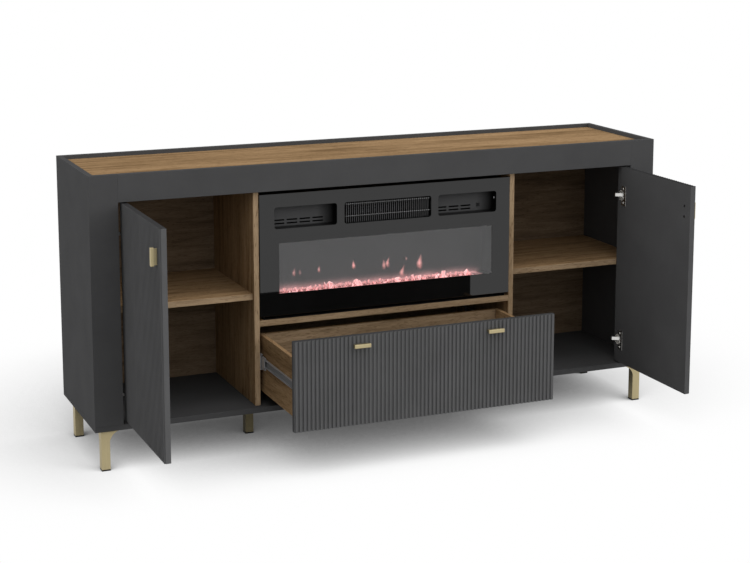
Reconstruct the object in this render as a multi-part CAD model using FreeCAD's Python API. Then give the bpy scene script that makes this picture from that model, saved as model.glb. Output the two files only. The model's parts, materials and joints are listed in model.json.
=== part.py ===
import FreeCAD, Part
import math
import os
from FreeCAD import Vector

# A low cabinet for a television with an electric fireplace in its middle.
# x runs to the right, z runs up from the floor and y runs back from the front plane of the cabinet.
# Everything is drawn with the doors and the drawer shut and is moved to the open pose before it is written.

# Cabinet sizes, in millimetres
WIDTH = 1800.0
DEPTH = 400.0
HEIGHT = 850.0
LEG_HEIGHT = 120.0
CENTRE_OPENING = 808.0
STILE_WIDTH = 82.0
RAIL_HEIGHT = 78.5
BACK_RAIL_HEIGHT = 80.0
TOP_RECESS = 11.0
SHELF_TOP_ABOVE_FLOOR = 469.0
FIREPLACE_SHELF_TOP_ABOVE_FLOOR = 390.0
BATTEN_DEPTH = 36.0

# Boards
FRONT_BOARD = 18.0
SHELF_BOARD = 18.0
CASE_BOARD = 16.0
DRAWER_BOARD = 12.0
BACK_BOARD = 3.0
BACK_REBATE = 8.0
BACK_JOINT = 1.0
SHELF_SETBACK = 12.0
BATTEN_CLEARANCE = 1.5

# Fronts
FRONT_CLEARANCE = 4.0
FRONT_GAP = 3.0
DIVIDER_SETBACK = 1.0
DRAWER_FRONT_OVERLAP = 2.0
DRAWER_FRONT_HEIGHT = 259.0
RIB_PITCH = 12.3
RIB_DEPTH = 3.5
RIB_CROWN = 6.4
RIB_GROOVE = 4.5

# Open pose
DOOR_OPEN_ANGLE = 90.0
DRAWER_PULL = 274.0

# Hinges
HINGE_EDGE_DISTANCE = 16.0
HINGE_FROM_FACE = 8.5
HINGE_BELOW_DOOR_TOP = 90.0
HINGE_ABOVE_DOOR_BOTTOM = 73.0
CUP_EDGE_DISTANCE = 21.5
CUP_RADIUS = 17.5
CUP_DEPTH = 13.0
CUP_WALL = 0.8
CUP_FIT = 0.1
CUP_SIDES = 16
FLANGE_THICKNESS = 1.2
FLANGE_LENGTH = 62.0
FLANGE_WIDTH = 25.0
FLANGE_OFFSET = 13.0
PIN_RADIUS = 1.0
PIN_SIDES = 12
RUNNING_FIT = 0.05
KNUCKLE_RADIUS = 2.1
ARM_THICKNESS = 2.0
ARM_WIDTH = 10.0
ARM_NECK_ANGLE = 33.0
ARM_NECK_LENGTH = 24.0
ARM_REACH = 25.0
PLATE_THICKNESS = 2.5
PLATE_HEIGHT = 60.0
PLATE_FRONT = 12.0
PLATE_REAR = 2.0

# Handles
HANDLE_LENGTH = 50.0
HANDLE_BAR_HEIGHT = 11.0
HANDLE_BAR_DEPTH = 9.0
HANDLE_NECK_HEIGHT = 6.0
HANDLE_NECK_INSET = 3.0
HANDLE_STANDOFF = 9.0
HANDLE_CHAMFER = 1.2
HANDLE_HOLE_SPACING = 32.0
HANDLE_FROM_DOOR_EDGE = 31.5
HANDLE_BELOW_DOOR_TOP = 78.0
HANDLE_BELOW_DRAWER_TOP = 27.5
DRAWER_HANDLE_OFFSET = 208.0
SEAT_FIT = 0.2
SCREW_RADIUS = 2.0
SCREW_SIDES = 8
SCREW_FIT = 0.3
SCREW_HEAD_RADIUS = 4.0
SCREW_HEAD_HEIGHT = 2.4
SCREW_GRIP = 7.0

# Drawer box and runners
RUNNER_GAP = 13.0
DRAWER_SIDE_BOTTOM = 50.0
DRAWER_SIDE_HEIGHT = 170.0
DRAWER_BOX_LENGTH = 320.0
DRAWER_BOTTOM_LIFT = 8.0
DRAWER_GROOVE = 6.0
RUNNER_LENGTH = 300.0
RUNNER_MIDDLE = 145.0
RUNNER_SHEET = 1.2
RUNNER_OUTER_HEIGHT = 45.0
RUNNER_MIDDLE_HEIGHT = 36.0
RUNNER_INNER_HEIGHT = 22.0
RUNNER_OUTER_REACH = 9.0
RUNNER_MIDDLE_START = 3.5
RUNNER_INNER_START = 6.5
RUNNER_MIDDLE_SHORTER = 20.0
RUNNER_MIDDLE_SETBACK = 110.0
BEARING_LENGTH = 100.0

# Legs
LEG_SIDE = 25.0
LEG_WALL = 1.5
LEG_PLATE = 3.0
LEG_SPREAD = 58.0
LEG_PLATE_CORNER = 10.0
GUSSET_THICKNESS = 3.0
GUSSET_DROP = 30.0
GUSSET_HOLLOW = 0.6
GUSSET_FLATS = 5
LEG_SIDE_INSET = 20.0
LEG_FRONT_INSET = 15.0
LEG_BACK_INSET = 31.0
LEG_MIDDLE_X = 399.0
LEG_MIDDLE_Y = 177.0
PAD_HEIGHT = 4.0
PAD_PLUG = 12.0
PAD_FIT = 0.1

# Fireplace
GLASS_FRONT = 16.0
GLASS_THICKNESS = 4.0
GLASS_SIDE_GAP = 1.0
GLASS_SHELF_GAP = 10.5
GLASS_RAIL_GAP = 11.0
GLASS_ROUNDING = 0.8
VENT_BELOW_GLASS_TOP = 40.0
VENT_HEIGHT = 64.0
VENT_RADIUS = 8.0
VENT_INNER_X = 163.0
VENT_OUTER_X = 357.0
GRILLE_HALF = 140.0
TRAY_WALL = 1.5
TRAY_DEPTH = 25.0
TRAY_FLANGE = 6.0
SLOT_LENGTH = 33.0
SLOT_HEIGHT = 4.5
SLOT_PITCH = 40.0
SLOT_ROW_PITCH = 10.0
SLOT_ROW_LIFT = 8.0
FIN_PITCH = 6.4
FIN_WIDTH = 2.0
FIN_DEPTH = 9.0
WIRE_SIZE = 1.6
WIRE_HEIGHTS = (20.5, 56.5)
HOUSING_SIDE_GAP = 14.0
HOUSING_DEPTH = 170.0
HOUSING_TOP_DROP = 6.5
SHEET = 1.2
DUCT_HALF = 152.0
DUCT_DEPTH = 112.0
DUCT_DROP = 9.0
ROTOR_RADIUS = 34.0
ROTOR_HALF = 140.0
ROTOR_BLADES = 8
ROTOR_BLADE_DEPTH = 9.0
ROTOR_DISC = 2.0
ROTOR_ROOM = 4.8
SHAFT_RADIUS = 3.0
MOTOR_SIDE = 46.0
MOTOR_LENGTH = 36.0
HEATER_HALF = 128.0
HEATER_FRONT = 46.0
HEATER_DEPTH = 14.0
HEATER_HEIGHT = 74.0
HEATER_FINS = 12
HEATER_RIM = 5.0
EMBER_HALF = 352.0
EMBER_LEVEL = 58.0
EMBER_DEPTH = 70.0
EMBER_FRONT_GAP = 4.0
EMBER_END_DEPTH = 128.0
EMBER_END_HEIGHT = 110.0
EMBER_SLOT_HALF = 335.0
EMBER_SLOT_WIDTH = 10.0
SCREEN_THICKNESS = 3.0
SCREEN_BELOW_DUCT = 6.3
SCREEN_END_GAP = 3.0
CRYSTALS = 26
CRYSTAL_HEIGHT = 22.0
CRYSTAL_RADIUS = 8.0
CRYSTAL_WIDTH_MIX = 0.25
CRYSTAL_HEIGHT_MIX = 0.4
CRYSTAL_FRONT_GAP = 1.0
GOLDEN_STEP = 0.618
LED_BOARD = 1.6
LED_COUNT = 14
LED_SIZE = 5.0
SPINDLE_BEHIND_SCREEN = 24.0
SPINDLE_LIFT = 76.0
SPINDLE_FLAGS = 8
FLAG_LENGTH = 34.0
FLAG_WIDTH = 13.0
FLAG_SHEET = 0.8
FLAG_TURN = 50.0
FLAME_MOTOR_SIDE = 42.0
FLAME_MOTOR_LENGTH = 20.0
BUTTON_WIDTH = 8.0
BUTTON_HEIGHT = 9.0
BUTTON_FIT = 0.4
BUTTON_FROM_TRAY_END = 48.0
BUTTON_PROUD = 3.5
BUTTON_FLANGE = 1.5
BOARD_LENGTH = 130.0
BOARD_DEPTH = 80.0
BOARD_POST = 11.0
BOARD_POST_SIDES = 6
RELAY = 18.0
GLAND_RADIUS = 8.0
GLAND_SIDES = 12
GLAND_NUT_RADIUS = 12.0
GLAND_NUT_SIDES = 6
GLAND_FLANGE = 3.0
GLAND_DEPTH = 6.0
GLAND_BORE = 4.0
CABLE_X = 250.0
CABLE_HOLE_RADIUS = 30.0
AIR_ROWS = 2
AIR_COLUMNS = 5
AIR_SLOT_LENGTH = 66.0
AIR_SLOT_PITCH = 80.0
AIR_SLOT_HEIGHT = 10.0
AIR_OPENING_WIDTH = 420.0
AIR_OPENING_HEIGHT = 60.0

# Values that follow from the sizes above
HALF = WIDTH / 2
CARCASS_FLOOR = LEG_HEIGHT + CASE_BOARD
RAIL_BOTTOM = HEIGHT - RAIL_HEIGHT
TOP_SURFACE = HEIGHT - TOP_RECESS
CEILING = TOP_SURFACE - CASE_BOARD
SIDE_INNER = HALF - CASE_BOARD
STILE_INNER = HALF - STILE_WIDTH
DIVIDER_INNER = CENTRE_OPENING / 2
DIVIDER_OUTER = DIVIDER_INNER + CASE_BOARD
DIVIDER_FRONT = FRONT_BOARD + DIVIDER_SETBACK
BACK_FACE = DEPTH - BACK_BOARD
SHELF_BOTTOM = SHELF_TOP_ABOVE_FLOOR - SHELF_BOARD
FIREPLACE_SHELF_TOP = FIREPLACE_SHELF_TOP_ABOVE_FLOOR
FRONT_BOTTOM = CARCASS_FLOOR + FRONT_CLEARANCE
DRAWER_FRONT_TOP = FRONT_BOTTOM + DRAWER_FRONT_HEIGHT
DRAWER_FRONT_HALF = DIVIDER_INNER + DRAWER_FRONT_OVERLAP
DOOR_FREE_EDGE = DRAWER_FRONT_HALF + FRONT_GAP
DOOR_HINGE_EDGE = STILE_INNER - FRONT_GAP
DOOR_TOP = RAIL_BOTTOM - FRONT_CLEARANCE
HINGE_X = DOOR_HINGE_EDGE - HINGE_EDGE_DISTANCE
HINGE_HEIGHTS = (FRONT_BOTTOM + HINGE_ABOVE_DOOR_BOTTOM, DOOR_TOP - HINGE_BELOW_DOOR_TOP)
DOOR_REACH = HINGE_X - DOOR_FREE_EDGE - HINGE_FROM_FACE
CENTRE_Y = (DEPTH - DOOR_REACH) / 2

DRAWER_SIDE_OUTER = DIVIDER_INNER - RUNNER_GAP
DRAWER_SIDE_INNER = DRAWER_SIDE_OUTER - DRAWER_BOARD
DRAWER_LOW = LEG_HEIGHT + DRAWER_SIDE_BOTTOM
DRAWER_HIGH = DRAWER_LOW + DRAWER_SIDE_HEIGHT
DRAWER_BACK_OUTER = FRONT_BOARD + DRAWER_BOX_LENGTH
DRAWER_BACK_INNER = DRAWER_BACK_OUTER - DRAWER_BOARD
RUNNER_HEIGHT = LEG_HEIGHT + RUNNER_MIDDLE

GLASS_BACK = GLASS_FRONT + GLASS_THICKNESS
GLASS_HALF = DIVIDER_INNER - GLASS_SIDE_GAP
GLASS_BOTTOM = FIREPLACE_SHELF_TOP + GLASS_SHELF_GAP
GLASS_TOP = RAIL_BOTTOM - GLASS_RAIL_GAP
VENT_TOP = GLASS_TOP - VENT_BELOW_GLASS_TOP
VENT_BOTTOM = VENT_TOP - VENT_HEIGHT
HOUSING_HALF = DIVIDER_INNER - HOUSING_SIDE_GAP
HOUSING_BACK = GLASS_BACK + HOUSING_DEPTH
HOUSING_TOP = GLASS_TOP - HOUSING_TOP_DROP
HOUSING_CEILING = HOUSING_TOP - SHEET
HOUSING_FLOOR = FIREPLACE_SHELF_TOP + SHEET
GRILLE_BACK = GLASS_BACK + TRAY_WALL + FIN_DEPTH
DUCT_BOTTOM = VENT_BOTTOM - DUCT_DROP
DUCT_BACK = GRILLE_BACK + DUCT_DEPTH
ROTOR_Y = DUCT_BACK - SHEET - ROTOR_RADIUS - ROTOR_ROOM
ROTOR_Z = (DUCT_BOTTOM + HOUSING_CEILING) / 2
EMBER_FRONT = GLASS_BACK + EMBER_FRONT_GAP
EMBER_TOP = GLASS_BOTTOM + EMBER_LEVEL
SCREEN_FRONT = EMBER_FRONT + EMBER_DEPTH
SPINDLE_Y = SCREEN_FRONT + SCREEN_THICKNESS + SPINDLE_BEHIND_SCREEN
SPINDLE_Z = HOUSING_FLOOR + SPINDLE_LIFT
TRAY_FLOOR = GLASS_BACK + TRAY_DEPTH

X_AXIS = Vector(1, 0, 0)
Y_AXIS = Vector(0, 1, 0)
Z_AXIS = Vector(0, 0, 1)
ORIGIN = Vector(0, 0, 0)
CUT_PAST = 1.0


# Helpers

def block(x, y, z):
    """A box from three pairs of low and high values."""
    return Part.makeBox(x[1] - x[0], y[1] - y[0], z[1] - z[0], Vector(x[0], y[0], z[0]))


def rod(radius, length, base, direction):
    """A cylinder that starts at a base point and runs along a direction."""
    return Part.makeCylinder(radius, length, base, direction)


def prism(points, direction):
    """A flat polygon drawn out along a vector."""
    return Part.Face(Part.makePolygon(points + points[:1])).extrude(direction)


def faceted_rod(radius, sides, length, base, direction):
    """A many-sided bar with its corners on a circle, for small round pieces that repeat."""
    across = Z_AXIS if abs(direction.x) > 0.5 else X_AXIS
    upward = direction.cross(across)
    corners = []
    for index in range(sides):
        angle = 2 * math.pi * (index + 0.5) / sides
        corners.append(base + (across * math.cos(angle) + upward * math.sin(angle)) * radius)
    return prism(corners, direction * length)


def strip(path, thickness):
    """The outline of a bent strip of even thickness along a path in the x-y plane."""
    left = []
    right = []
    for index, point in enumerate(path):
        before = path[max(index - 1, 0)]
        after = path[min(index + 1, len(path) - 1)]
        turn_in = (point - before).normalize() if index > 0 else (after - point).normalize()
        turn_out = (after - point).normalize() if index < len(path) - 1 else turn_in
        along = (turn_in + turn_out).normalize()
        reach = thickness / 2 / along.dot(turn_out)
        across = Z_AXIS.cross(along) * reach
        left.append(point + across)
        right.append(point - across)
    return left + right[::-1]


def rounded_along(axis, solid, radius):
    """A copy of a solid with every straight edge that runs along an axis rounded."""
    edges = [edge for edge in solid.Edges if abs(edge.tangentAt(edge.FirstParameter).dot(axis)) > 0.99]
    return solid.makeFillet(radius, edges)


def joined(shapes):
    """One solid made of shapes that touch."""
    return shapes[0].fuse(shapes[1:]).removeSplitter()


def other_side(shape):
    """The mirror copy on the other side of the cabinet."""
    return shape.mirror(ORIGIN, X_AXIS)


def mirrored_pair(shapes):
    """Shapes of the left side together with their mirror copies."""
    return shapes + [other_side(shape) for shape in shapes]


# Carcass

def bottom_panel():
    """Full-width base board with a rebate along its back edge for the back panels."""
    board = block((-HALF, HALF), (0, DEPTH), (LEG_HEIGHT, CARCASS_FLOOR))
    rebate_x = SIDE_INNER + BACK_REBATE
    rebate_z = (CARCASS_FLOOR - BACK_REBATE, CARCASS_FLOOR)
    rebate = block((-rebate_x, rebate_x), (BACK_FACE, DEPTH + CUT_PAST), rebate_z)
    return board.cut(rebate)


def side_panel():
    """Left side board behind the stile, with the back rebate."""
    board = block((-HALF, -SIDE_INNER), (FRONT_BOARD, DEPTH), (CARCASS_FLOOR, HEIGHT))
    rebate_top = HEIGHT - BACK_RAIL_HEIGHT + BACK_REBATE
    rebate = block(
        (-SIDE_INNER - BACK_REBATE, -SIDE_INNER),
        (BACK_FACE, DEPTH + CUT_PAST),
        (CARCASS_FLOOR, rebate_top),
    )
    return board.cut(rebate)


def front_stile():
    return block((-HALF, -STILE_INNER), (0, FRONT_BOARD), (CARCASS_FLOOR, HEIGHT))


def front_rail():
    return block((-STILE_INNER, STILE_INNER), (0, FRONT_BOARD), (RAIL_BOTTOM, HEIGHT))


def back_rail():
    """Rail along the top of the back, rebated below for the back panels."""
    low = HEIGHT - BACK_RAIL_HEIGHT
    board = block((-SIDE_INNER, SIDE_INNER), (DEPTH - CASE_BOARD, DEPTH), (low, HEIGHT))
    rebate = block((-SIDE_INNER, SIDE_INNER), (BACK_FACE, DEPTH + CUT_PAST), (low, low + BACK_REBATE))
    return board.cut(rebate)


def top_panel():
    return block((-SIDE_INNER, SIDE_INNER), (FRONT_BOARD, DEPTH - CASE_BOARD), (CEILING, TOP_SURFACE))


def divider():
    """Left upright board, notched round the back rail."""
    board = block((-DIVIDER_OUTER, -DIVIDER_INNER), (DIVIDER_FRONT, BACK_FACE), (CARCASS_FLOOR, CEILING))
    notch = block(
        (-DIVIDER_OUTER, -DIVIDER_INNER),
        (DEPTH - CASE_BOARD, DEPTH),
        (HEIGHT - BACK_RAIL_HEIGHT, CEILING),
    )
    return board.cut(notch)


def fireplace_shelf():
    low = FIREPLACE_SHELF_TOP - SHELF_BOARD
    return block((-DIVIDER_INNER, DIVIDER_INNER), (DIVIDER_FRONT, BACK_FACE), (low, FIREPLACE_SHELF_TOP))


def side_shelf():
    """Left shelf, notched at its outer front corner to pass the hinge batten."""
    board = block(
        (-SIDE_INNER, -DIVIDER_OUTER),
        (DIVIDER_FRONT + SHELF_SETBACK, BACK_FACE),
        (SHELF_BOTTOM, SHELF_TOP_ABOVE_FLOOR),
    )
    notch = block(
        (-SIDE_INNER, -STILE_INNER + BATTEN_CLEARANCE),
        (0, FRONT_BOARD + BATTEN_DEPTH + BATTEN_CLEARANCE),
        (SHELF_BOTTOM, SHELF_TOP_ABOVE_FLOOR),
    )
    return board.cut(notch)


def hinge_batten():
    """Upright strip behind the left stile that carries the hinge plates."""
    return block(
        (-STILE_INNER - CASE_BOARD, -STILE_INNER),
        (FRONT_BOARD, FRONT_BOARD + BATTEN_DEPTH),
        (CARCASS_FLOOR, CEILING),
    )


def back_sheet(x_low, x_high):
    """Thin back board between two x values, set into the rebates."""
    top = HEIGHT - BACK_RAIL_HEIGHT + BACK_REBATE
    return block((x_low, x_high), (BACK_FACE, DEPTH), (CARCASS_FLOOR - BACK_REBATE, top))


def back_joint_x():
    return DIVIDER_INNER + CASE_BOARD / 2


def side_back_panel():
    return back_sheet(-SIDE_INNER - BACK_REBATE, -back_joint_x() - BACK_JOINT / 2)


def centre_back_panel():
    """Middle back board with an air opening behind the heater and a hole for the cable."""
    edge = back_joint_x() - BACK_JOINT / 2
    air = rounded_along(Y_AXIS, block(
        (-AIR_OPENING_WIDTH / 2, AIR_OPENING_WIDTH / 2),
        (BACK_FACE - CUT_PAST, DEPTH + CUT_PAST),
        (ROTOR_Z - AIR_OPENING_HEIGHT / 2, ROTOR_Z + AIR_OPENING_HEIGHT / 2),
    ), AIR_OPENING_HEIGHT / 4)
    cable_start = Vector(CABLE_X, BACK_FACE - CUT_PAST, SPINDLE_Z)
    cable = rod(CABLE_HOLE_RADIUS, BACK_BOARD + 2 * CUT_PAST, cable_start, Y_AXIS)
    return back_sheet(-edge, edge).cut([air, cable])


# Legs

def leg():
    """Square tube under a five-sided plate, with a hollow-edged gusset on two neighbouring sides."""
    top = LEG_HEIGHT - LEG_PLATE
    tube = block((0, LEG_SIDE), (0, LEG_SIDE), (PAD_HEIGHT, top))
    bore = block(
        (LEG_WALL, LEG_SIDE - LEG_WALL),
        (LEG_WALL, LEG_SIDE - LEG_WALL),
        (PAD_HEIGHT - CUT_PAST, top),
    )
    outline = [
        Vector(0, 0, top),
        Vector(LEG_SPREAD, 0, top),
        Vector(LEG_SPREAD, LEG_PLATE_CORNER, top),
        Vector(LEG_PLATE_CORNER, LEG_SPREAD, top),
        Vector(0, LEG_SPREAD, top),
    ]
    plate = prism(outline, Z_AXIS * LEG_PLATE)
    gusset_x = gusset(top)
    gusset_y = gusset_x.mirror(ORIGIN, Vector(1, -1, 0))
    return joined([tube.cut(bore), plate, gusset_x, gusset_y])


def gusset(top):
    """Three-cornered web beside the tube whose sloping edge is hollow, in a few short flats."""
    inner = Vector(LEG_SIDE, 0, top)
    tip = Vector(LEG_SPREAD, 0, top)
    foot = Vector(LEG_SIDE, 0, top - GUSSET_DROP)
    slope_middle = (tip + foot) * 0.5
    pull = slope_middle + (inner - slope_middle) * GUSSET_HOLLOW
    outline = [inner]
    for step in range(GUSSET_FLATS + 1):
        share = step / GUSSET_FLATS
        outline.append(tip * (1 - share) ** 2 + pull * (2 * share * (1 - share)) + foot * share ** 2)
    return prism(outline, Y_AXIS * GUSSET_THICKNESS)


def foot_pad():
    """Plastic pad below the tube with a plug inside it."""
    pad = block((0, LEG_SIDE), (0, LEG_SIDE), (0, PAD_HEIGHT))
    plug_low = LEG_WALL + PAD_FIT
    plug_high = LEG_SIDE - LEG_WALL - PAD_FIT
    plug = block((plug_low, plug_high), (plug_low, plug_high), (PAD_HEIGHT, PAD_HEIGHT + PAD_PLUG))
    return joined([pad, plug])


def front_leg_place(shape):
    return shape.translated(Vector(-HALF + LEG_SIDE_INSET, LEG_FRONT_INSET, 0))


def rear_leg_place(shape):
    turned = shape.mirror(ORIGIN, Y_AXIS)
    return turned.translated(Vector(-HALF + LEG_SIDE_INSET, DEPTH - LEG_BACK_INSET, 0))


def middle_leg_place(shape):
    return shape.translated(Vector(-LEG_MIDDLE_X, LEG_MIDDLE_Y, 0))


# Doors, hinges and handles

def ribbed_board(x, z):
    """Upright board whose front is a row of ribs with flat crowns, steep sides and flat grooves."""
    count = round((x[1] - x[0]) / RIB_PITCH)
    pitch = (x[1] - x[0]) / count
    profile = [Vector(x[0], RIB_DEPTH, z[0])]
    for index in range(count):
        middle = x[0] + (index + 0.5) * pitch
        foot = (pitch - RIB_GROOVE) / 2
        crown = RIB_CROWN / 2
        for offset, depth in ((-foot, RIB_DEPTH), (-crown, 0), (crown, 0), (foot, RIB_DEPTH)):
            profile.append(Vector(middle + offset, depth, z[0]))
    profile += [
        Vector(x[1], RIB_DEPTH, z[0]),
        Vector(x[1], FRONT_BOARD, z[0]),
        Vector(x[0], FRONT_BOARD, z[0]),
    ]
    return prism(profile, Z_AXIS * (z[1] - z[0]))


def cup_x():
    return -DOOR_HINGE_EDGE + CUP_EDGE_DISTANCE


def door():
    """Left door with its cup pockets, handle seat and handle screw holes."""
    board = ribbed_board((-DOOR_HINGE_EDGE, -DOOR_FREE_EDGE), (FRONT_BOTTOM, DOOR_TOP))
    cuts = []
    for height in HINGE_HEIGHTS:
        start = Vector(cup_x(), FRONT_BOARD - CUP_DEPTH - CUP_FIT, height)
        cuts.append(faceted_rod(CUP_RADIUS + CUP_FIT, CUP_SIDES, CUP_DEPTH + CUT_PAST, start, Y_AXIS))
    return board.cut(cuts + [door_handle_place(cut) for cut in handle_cuts()])


def hinge_cup(height):
    """Round dish in the door with a flat flange that has two ears, and holes for its pin."""
    face = FRONT_BOARD
    centre = Vector(cup_x(), face - CUP_DEPTH, height)
    dish = faceted_rod(CUP_RADIUS, CUP_SIDES, CUP_DEPTH + FLANGE_THICKNESS, centre, Y_AXIS)
    ear_x = cup_x() + FLANGE_OFFSET
    ears = block(
        (ear_x - FLANGE_WIDTH / 2, ear_x + FLANGE_WIDTH / 2),
        (face, face + FLANGE_THICKNESS),
        (height - FLANGE_LENGTH / 2, height + FLANGE_LENGTH / 2),
    )
    floor = centre + Y_AXIS * CUP_WALL
    inside = faceted_rod(CUP_RADIUS - CUP_WALL, CUP_SIDES, CUP_DEPTH + 2 * FLANGE_THICKNESS, floor, Y_AXIS)
    return joined([dish, ears]).cut([inside, pin_hole(height, 2 * CUP_RADIUS, 0)])


def pin_hole(height, length, fit):
    """A many-sided hole on the hinge line whose flats stand a fit away from the round pin."""
    radius = (PIN_RADIUS + fit) / math.cos(math.pi / PIN_SIDES)
    start = Vector(-HINGE_X, HINGE_FROM_FACE, height - length / 2)
    return faceted_rod(radius, PIN_SIDES, length, start, Z_AXIS)


def hinge_pin(height):
    """Round pin across the cup that ends within the thickness of its wall."""
    offset = HINGE_EDGE_DISTANCE - CUP_EDGE_DISTANCE
    flat_radius = CUP_RADIUS * math.cos(math.pi / CUP_SIDES)
    half_length = math.sqrt((flat_radius - CUP_WALL / 2) ** 2 - offset ** 2)
    start = Vector(-HINGE_X, HINGE_FROM_FACE, height - half_length)
    return rod(PIN_RADIUS, 2 * half_length, start, Z_AXIS)


def hinge_cups():
    return [hinge_cup(height) for height in HINGE_HEIGHTS] + [hinge_pin(height) for height in HINGE_HEIGHTS]


def hinge_arm(height):
    """Bent steel strip that leaves the cup, turns back over the door and lies on the hinge plate."""
    angle = math.radians(ARM_NECK_ANGLE)
    out = Vector(ARM_NECK_LENGTH * math.cos(angle), ARM_NECK_LENGTH * math.sin(angle), 0)
    plate_x = -(STILE_INNER - HINGE_X) + PLATE_THICKNESS
    base_x = plate_x + ARM_THICKNESS / 2
    rear_y = FRONT_BOARD + BATTEN_DEPTH - PLATE_REAR - HINGE_FROM_FACE
    path = [
        Vector(0, 0, 0),
        out,
        Vector(out.x, (out.y + ARM_REACH) / 2, 0),
        Vector(out.x / 2, ARM_REACH, 0),
        Vector(base_x, ARM_REACH, 0),
        Vector(base_x, rear_y, 0),
    ]
    blade = prism(strip(path, ARM_THICKNESS), Z_AXIS * ARM_WIDTH)
    knuckle = faceted_rod(KNUCKLE_RADIUS, PIN_SIDES, ARM_WIDTH, path[0], Z_AXIS)
    arm = joined([blade, knuckle]).translated(Vector(-HINGE_X, HINGE_FROM_FACE, height - ARM_WIDTH / 2))
    return arm.cut(pin_hole(height, ARM_WIDTH, RUNNING_FIT))


def hinge_plate(height):
    """Flat plate on the batten that the arm lies on."""
    return block(
        (-STILE_INNER, -STILE_INNER + PLATE_THICKNESS),
        (FRONT_BOARD + PLATE_FRONT, FRONT_BOARD + BATTEN_DEPTH - PLATE_REAR),
        (height - PLATE_HEIGHT / 2, height + PLATE_HEIGHT / 2),
    )


def handle():
    """Lying T-shaped pull: a bar in front of a slimmer neck that stands in a flat seat."""
    bar = block(
        (-HANDLE_LENGTH / 2, HANDLE_LENGTH / 2),
        (-HANDLE_STANDOFF - HANDLE_BAR_DEPTH, -HANDLE_STANDOFF),
        (-HANDLE_BAR_HEIGHT / 2, HANDLE_BAR_HEIGHT / 2),
    )
    front_limit = -HANDLE_STANDOFF - HANDLE_BAR_DEPTH / 4
    front_edges = [edge for edge in bar.Edges if edge.CenterOfMass.y < front_limit]
    bar = bar.makeChamfer(HANDLE_CHAMFER, front_edges)
    neck = handle_neck(0)
    holes = []
    for side in (-1, 1):
        start = Vector(side * HANDLE_HOLE_SPACING / 2, RIB_DEPTH - SCREW_GRIP, 0)
        holes.append(faceted_rod(SCREW_RADIUS, SCREW_SIDES, SCREW_GRIP + CUT_PAST, start, Y_AXIS))
    return joined([bar, neck]).cut(holes)


def handle_neck(fit):
    half = HANDLE_LENGTH / 2 - HANDLE_NECK_INSET + fit
    height = HANDLE_NECK_HEIGHT / 2 + fit
    return block((-half, half), (-HANDLE_STANDOFF, RIB_DEPTH), (-height, height))


def handle_cuts():
    """The seat in the ribs and the two stepped screw holes behind a lying handle."""
    cuts = [handle_neck(SEAT_FIT)]
    hole_radius = SCREW_RADIUS + SCREW_FIT
    head_radius = SCREW_HEAD_RADIUS + SCREW_FIT
    for side in (-1, 1):
        start = Vector(side * HANDLE_HOLE_SPACING / 2, 0, 0)
        step = start + Y_AXIS * (FRONT_BOARD - SCREW_HEAD_HEIGHT)
        cuts.append(faceted_rod(hole_radius, SCREW_SIDES, FRONT_BOARD, start, Y_AXIS))
        cuts.append(faceted_rod(head_radius, SCREW_SIDES, SCREW_HEAD_HEIGHT + CUT_PAST, step, Y_AXIS))
    return cuts


def handle_screws():
    """Two screws from the inside: a shank up into the handle and a head sunk in the board."""
    screws = []
    for side in (-1, 1):
        start = Vector(side * HANDLE_HOLE_SPACING / 2, RIB_DEPTH - SCREW_GRIP, 0)
        head_start = Vector(start.x, FRONT_BOARD - SCREW_HEAD_HEIGHT, 0)
        shank = faceted_rod(SCREW_RADIUS, SCREW_SIDES, head_start.y - start.y, start, Y_AXIS)
        head = faceted_rod(SCREW_HEAD_RADIUS, SCREW_SIDES, SCREW_HEAD_HEIGHT, head_start, Y_AXIS)
        screws.append(joined([shank, head]))
    return screws


def door_handle_place(shape):
    """Stand a lying handle upright near the free edge of the left door."""
    upright = shape.rotated(ORIGIN, Y_AXIS, 90)
    spot_x = -DOOR_FREE_EDGE - HANDLE_FROM_DOOR_EDGE
    return upright.translated(Vector(spot_x, 0, DOOR_TOP - HANDLE_BELOW_DOOR_TOP))


def drawer_handle_place(shape):
    return shape.translated(Vector(-DRAWER_HANDLE_OFFSET, 0, DRAWER_FRONT_TOP - HANDLE_BELOW_DRAWER_TOP))


def opened(shape):
    """The left door's pieces turned about its hinge pins into the open pose."""
    return shape.rotated(Vector(-HINGE_X, HINGE_FROM_FACE, 0), Z_AXIS, -DOOR_OPEN_ANGLE)


# Drawer and runners

def pulled(shape):
    """The drawer's pieces moved out into the open pose."""
    return shape.translated(Vector(0, -DRAWER_PULL, 0))


def bottom_slot():
    """Room for the thin drawer bottom in the grooves of the boards round it."""
    low = DRAWER_LOW + DRAWER_BOTTOM_LIFT
    half = DRAWER_SIDE_INNER + DRAWER_GROOVE
    slot_y = (FRONT_BOARD - DRAWER_GROOVE, DRAWER_BACK_INNER + DRAWER_GROOVE)
    return block((-half, half), slot_y, (low, low + BACK_BOARD))


def drawer_front():
    board = ribbed_board((-DRAWER_FRONT_HALF, DRAWER_FRONT_HALF), (FRONT_BOTTOM, DRAWER_FRONT_TOP))
    return board.cut([bottom_slot()] + mirrored_pair([drawer_handle_place(cut) for cut in handle_cuts()]))


def drawer_side():
    board = block(
        (-DRAWER_SIDE_OUTER, -DRAWER_SIDE_INNER),
        (FRONT_BOARD, DRAWER_BACK_OUTER),
        (DRAWER_LOW, DRAWER_HIGH),
    )
    return board.cut(bottom_slot())


def drawer_back():
    board = block(
        (-DRAWER_SIDE_INNER, DRAWER_SIDE_INNER),
        (DRAWER_BACK_INNER, DRAWER_BACK_OUTER),
        (DRAWER_LOW, DRAWER_HIGH),
    )
    return board.cut(bottom_slot())


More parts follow.
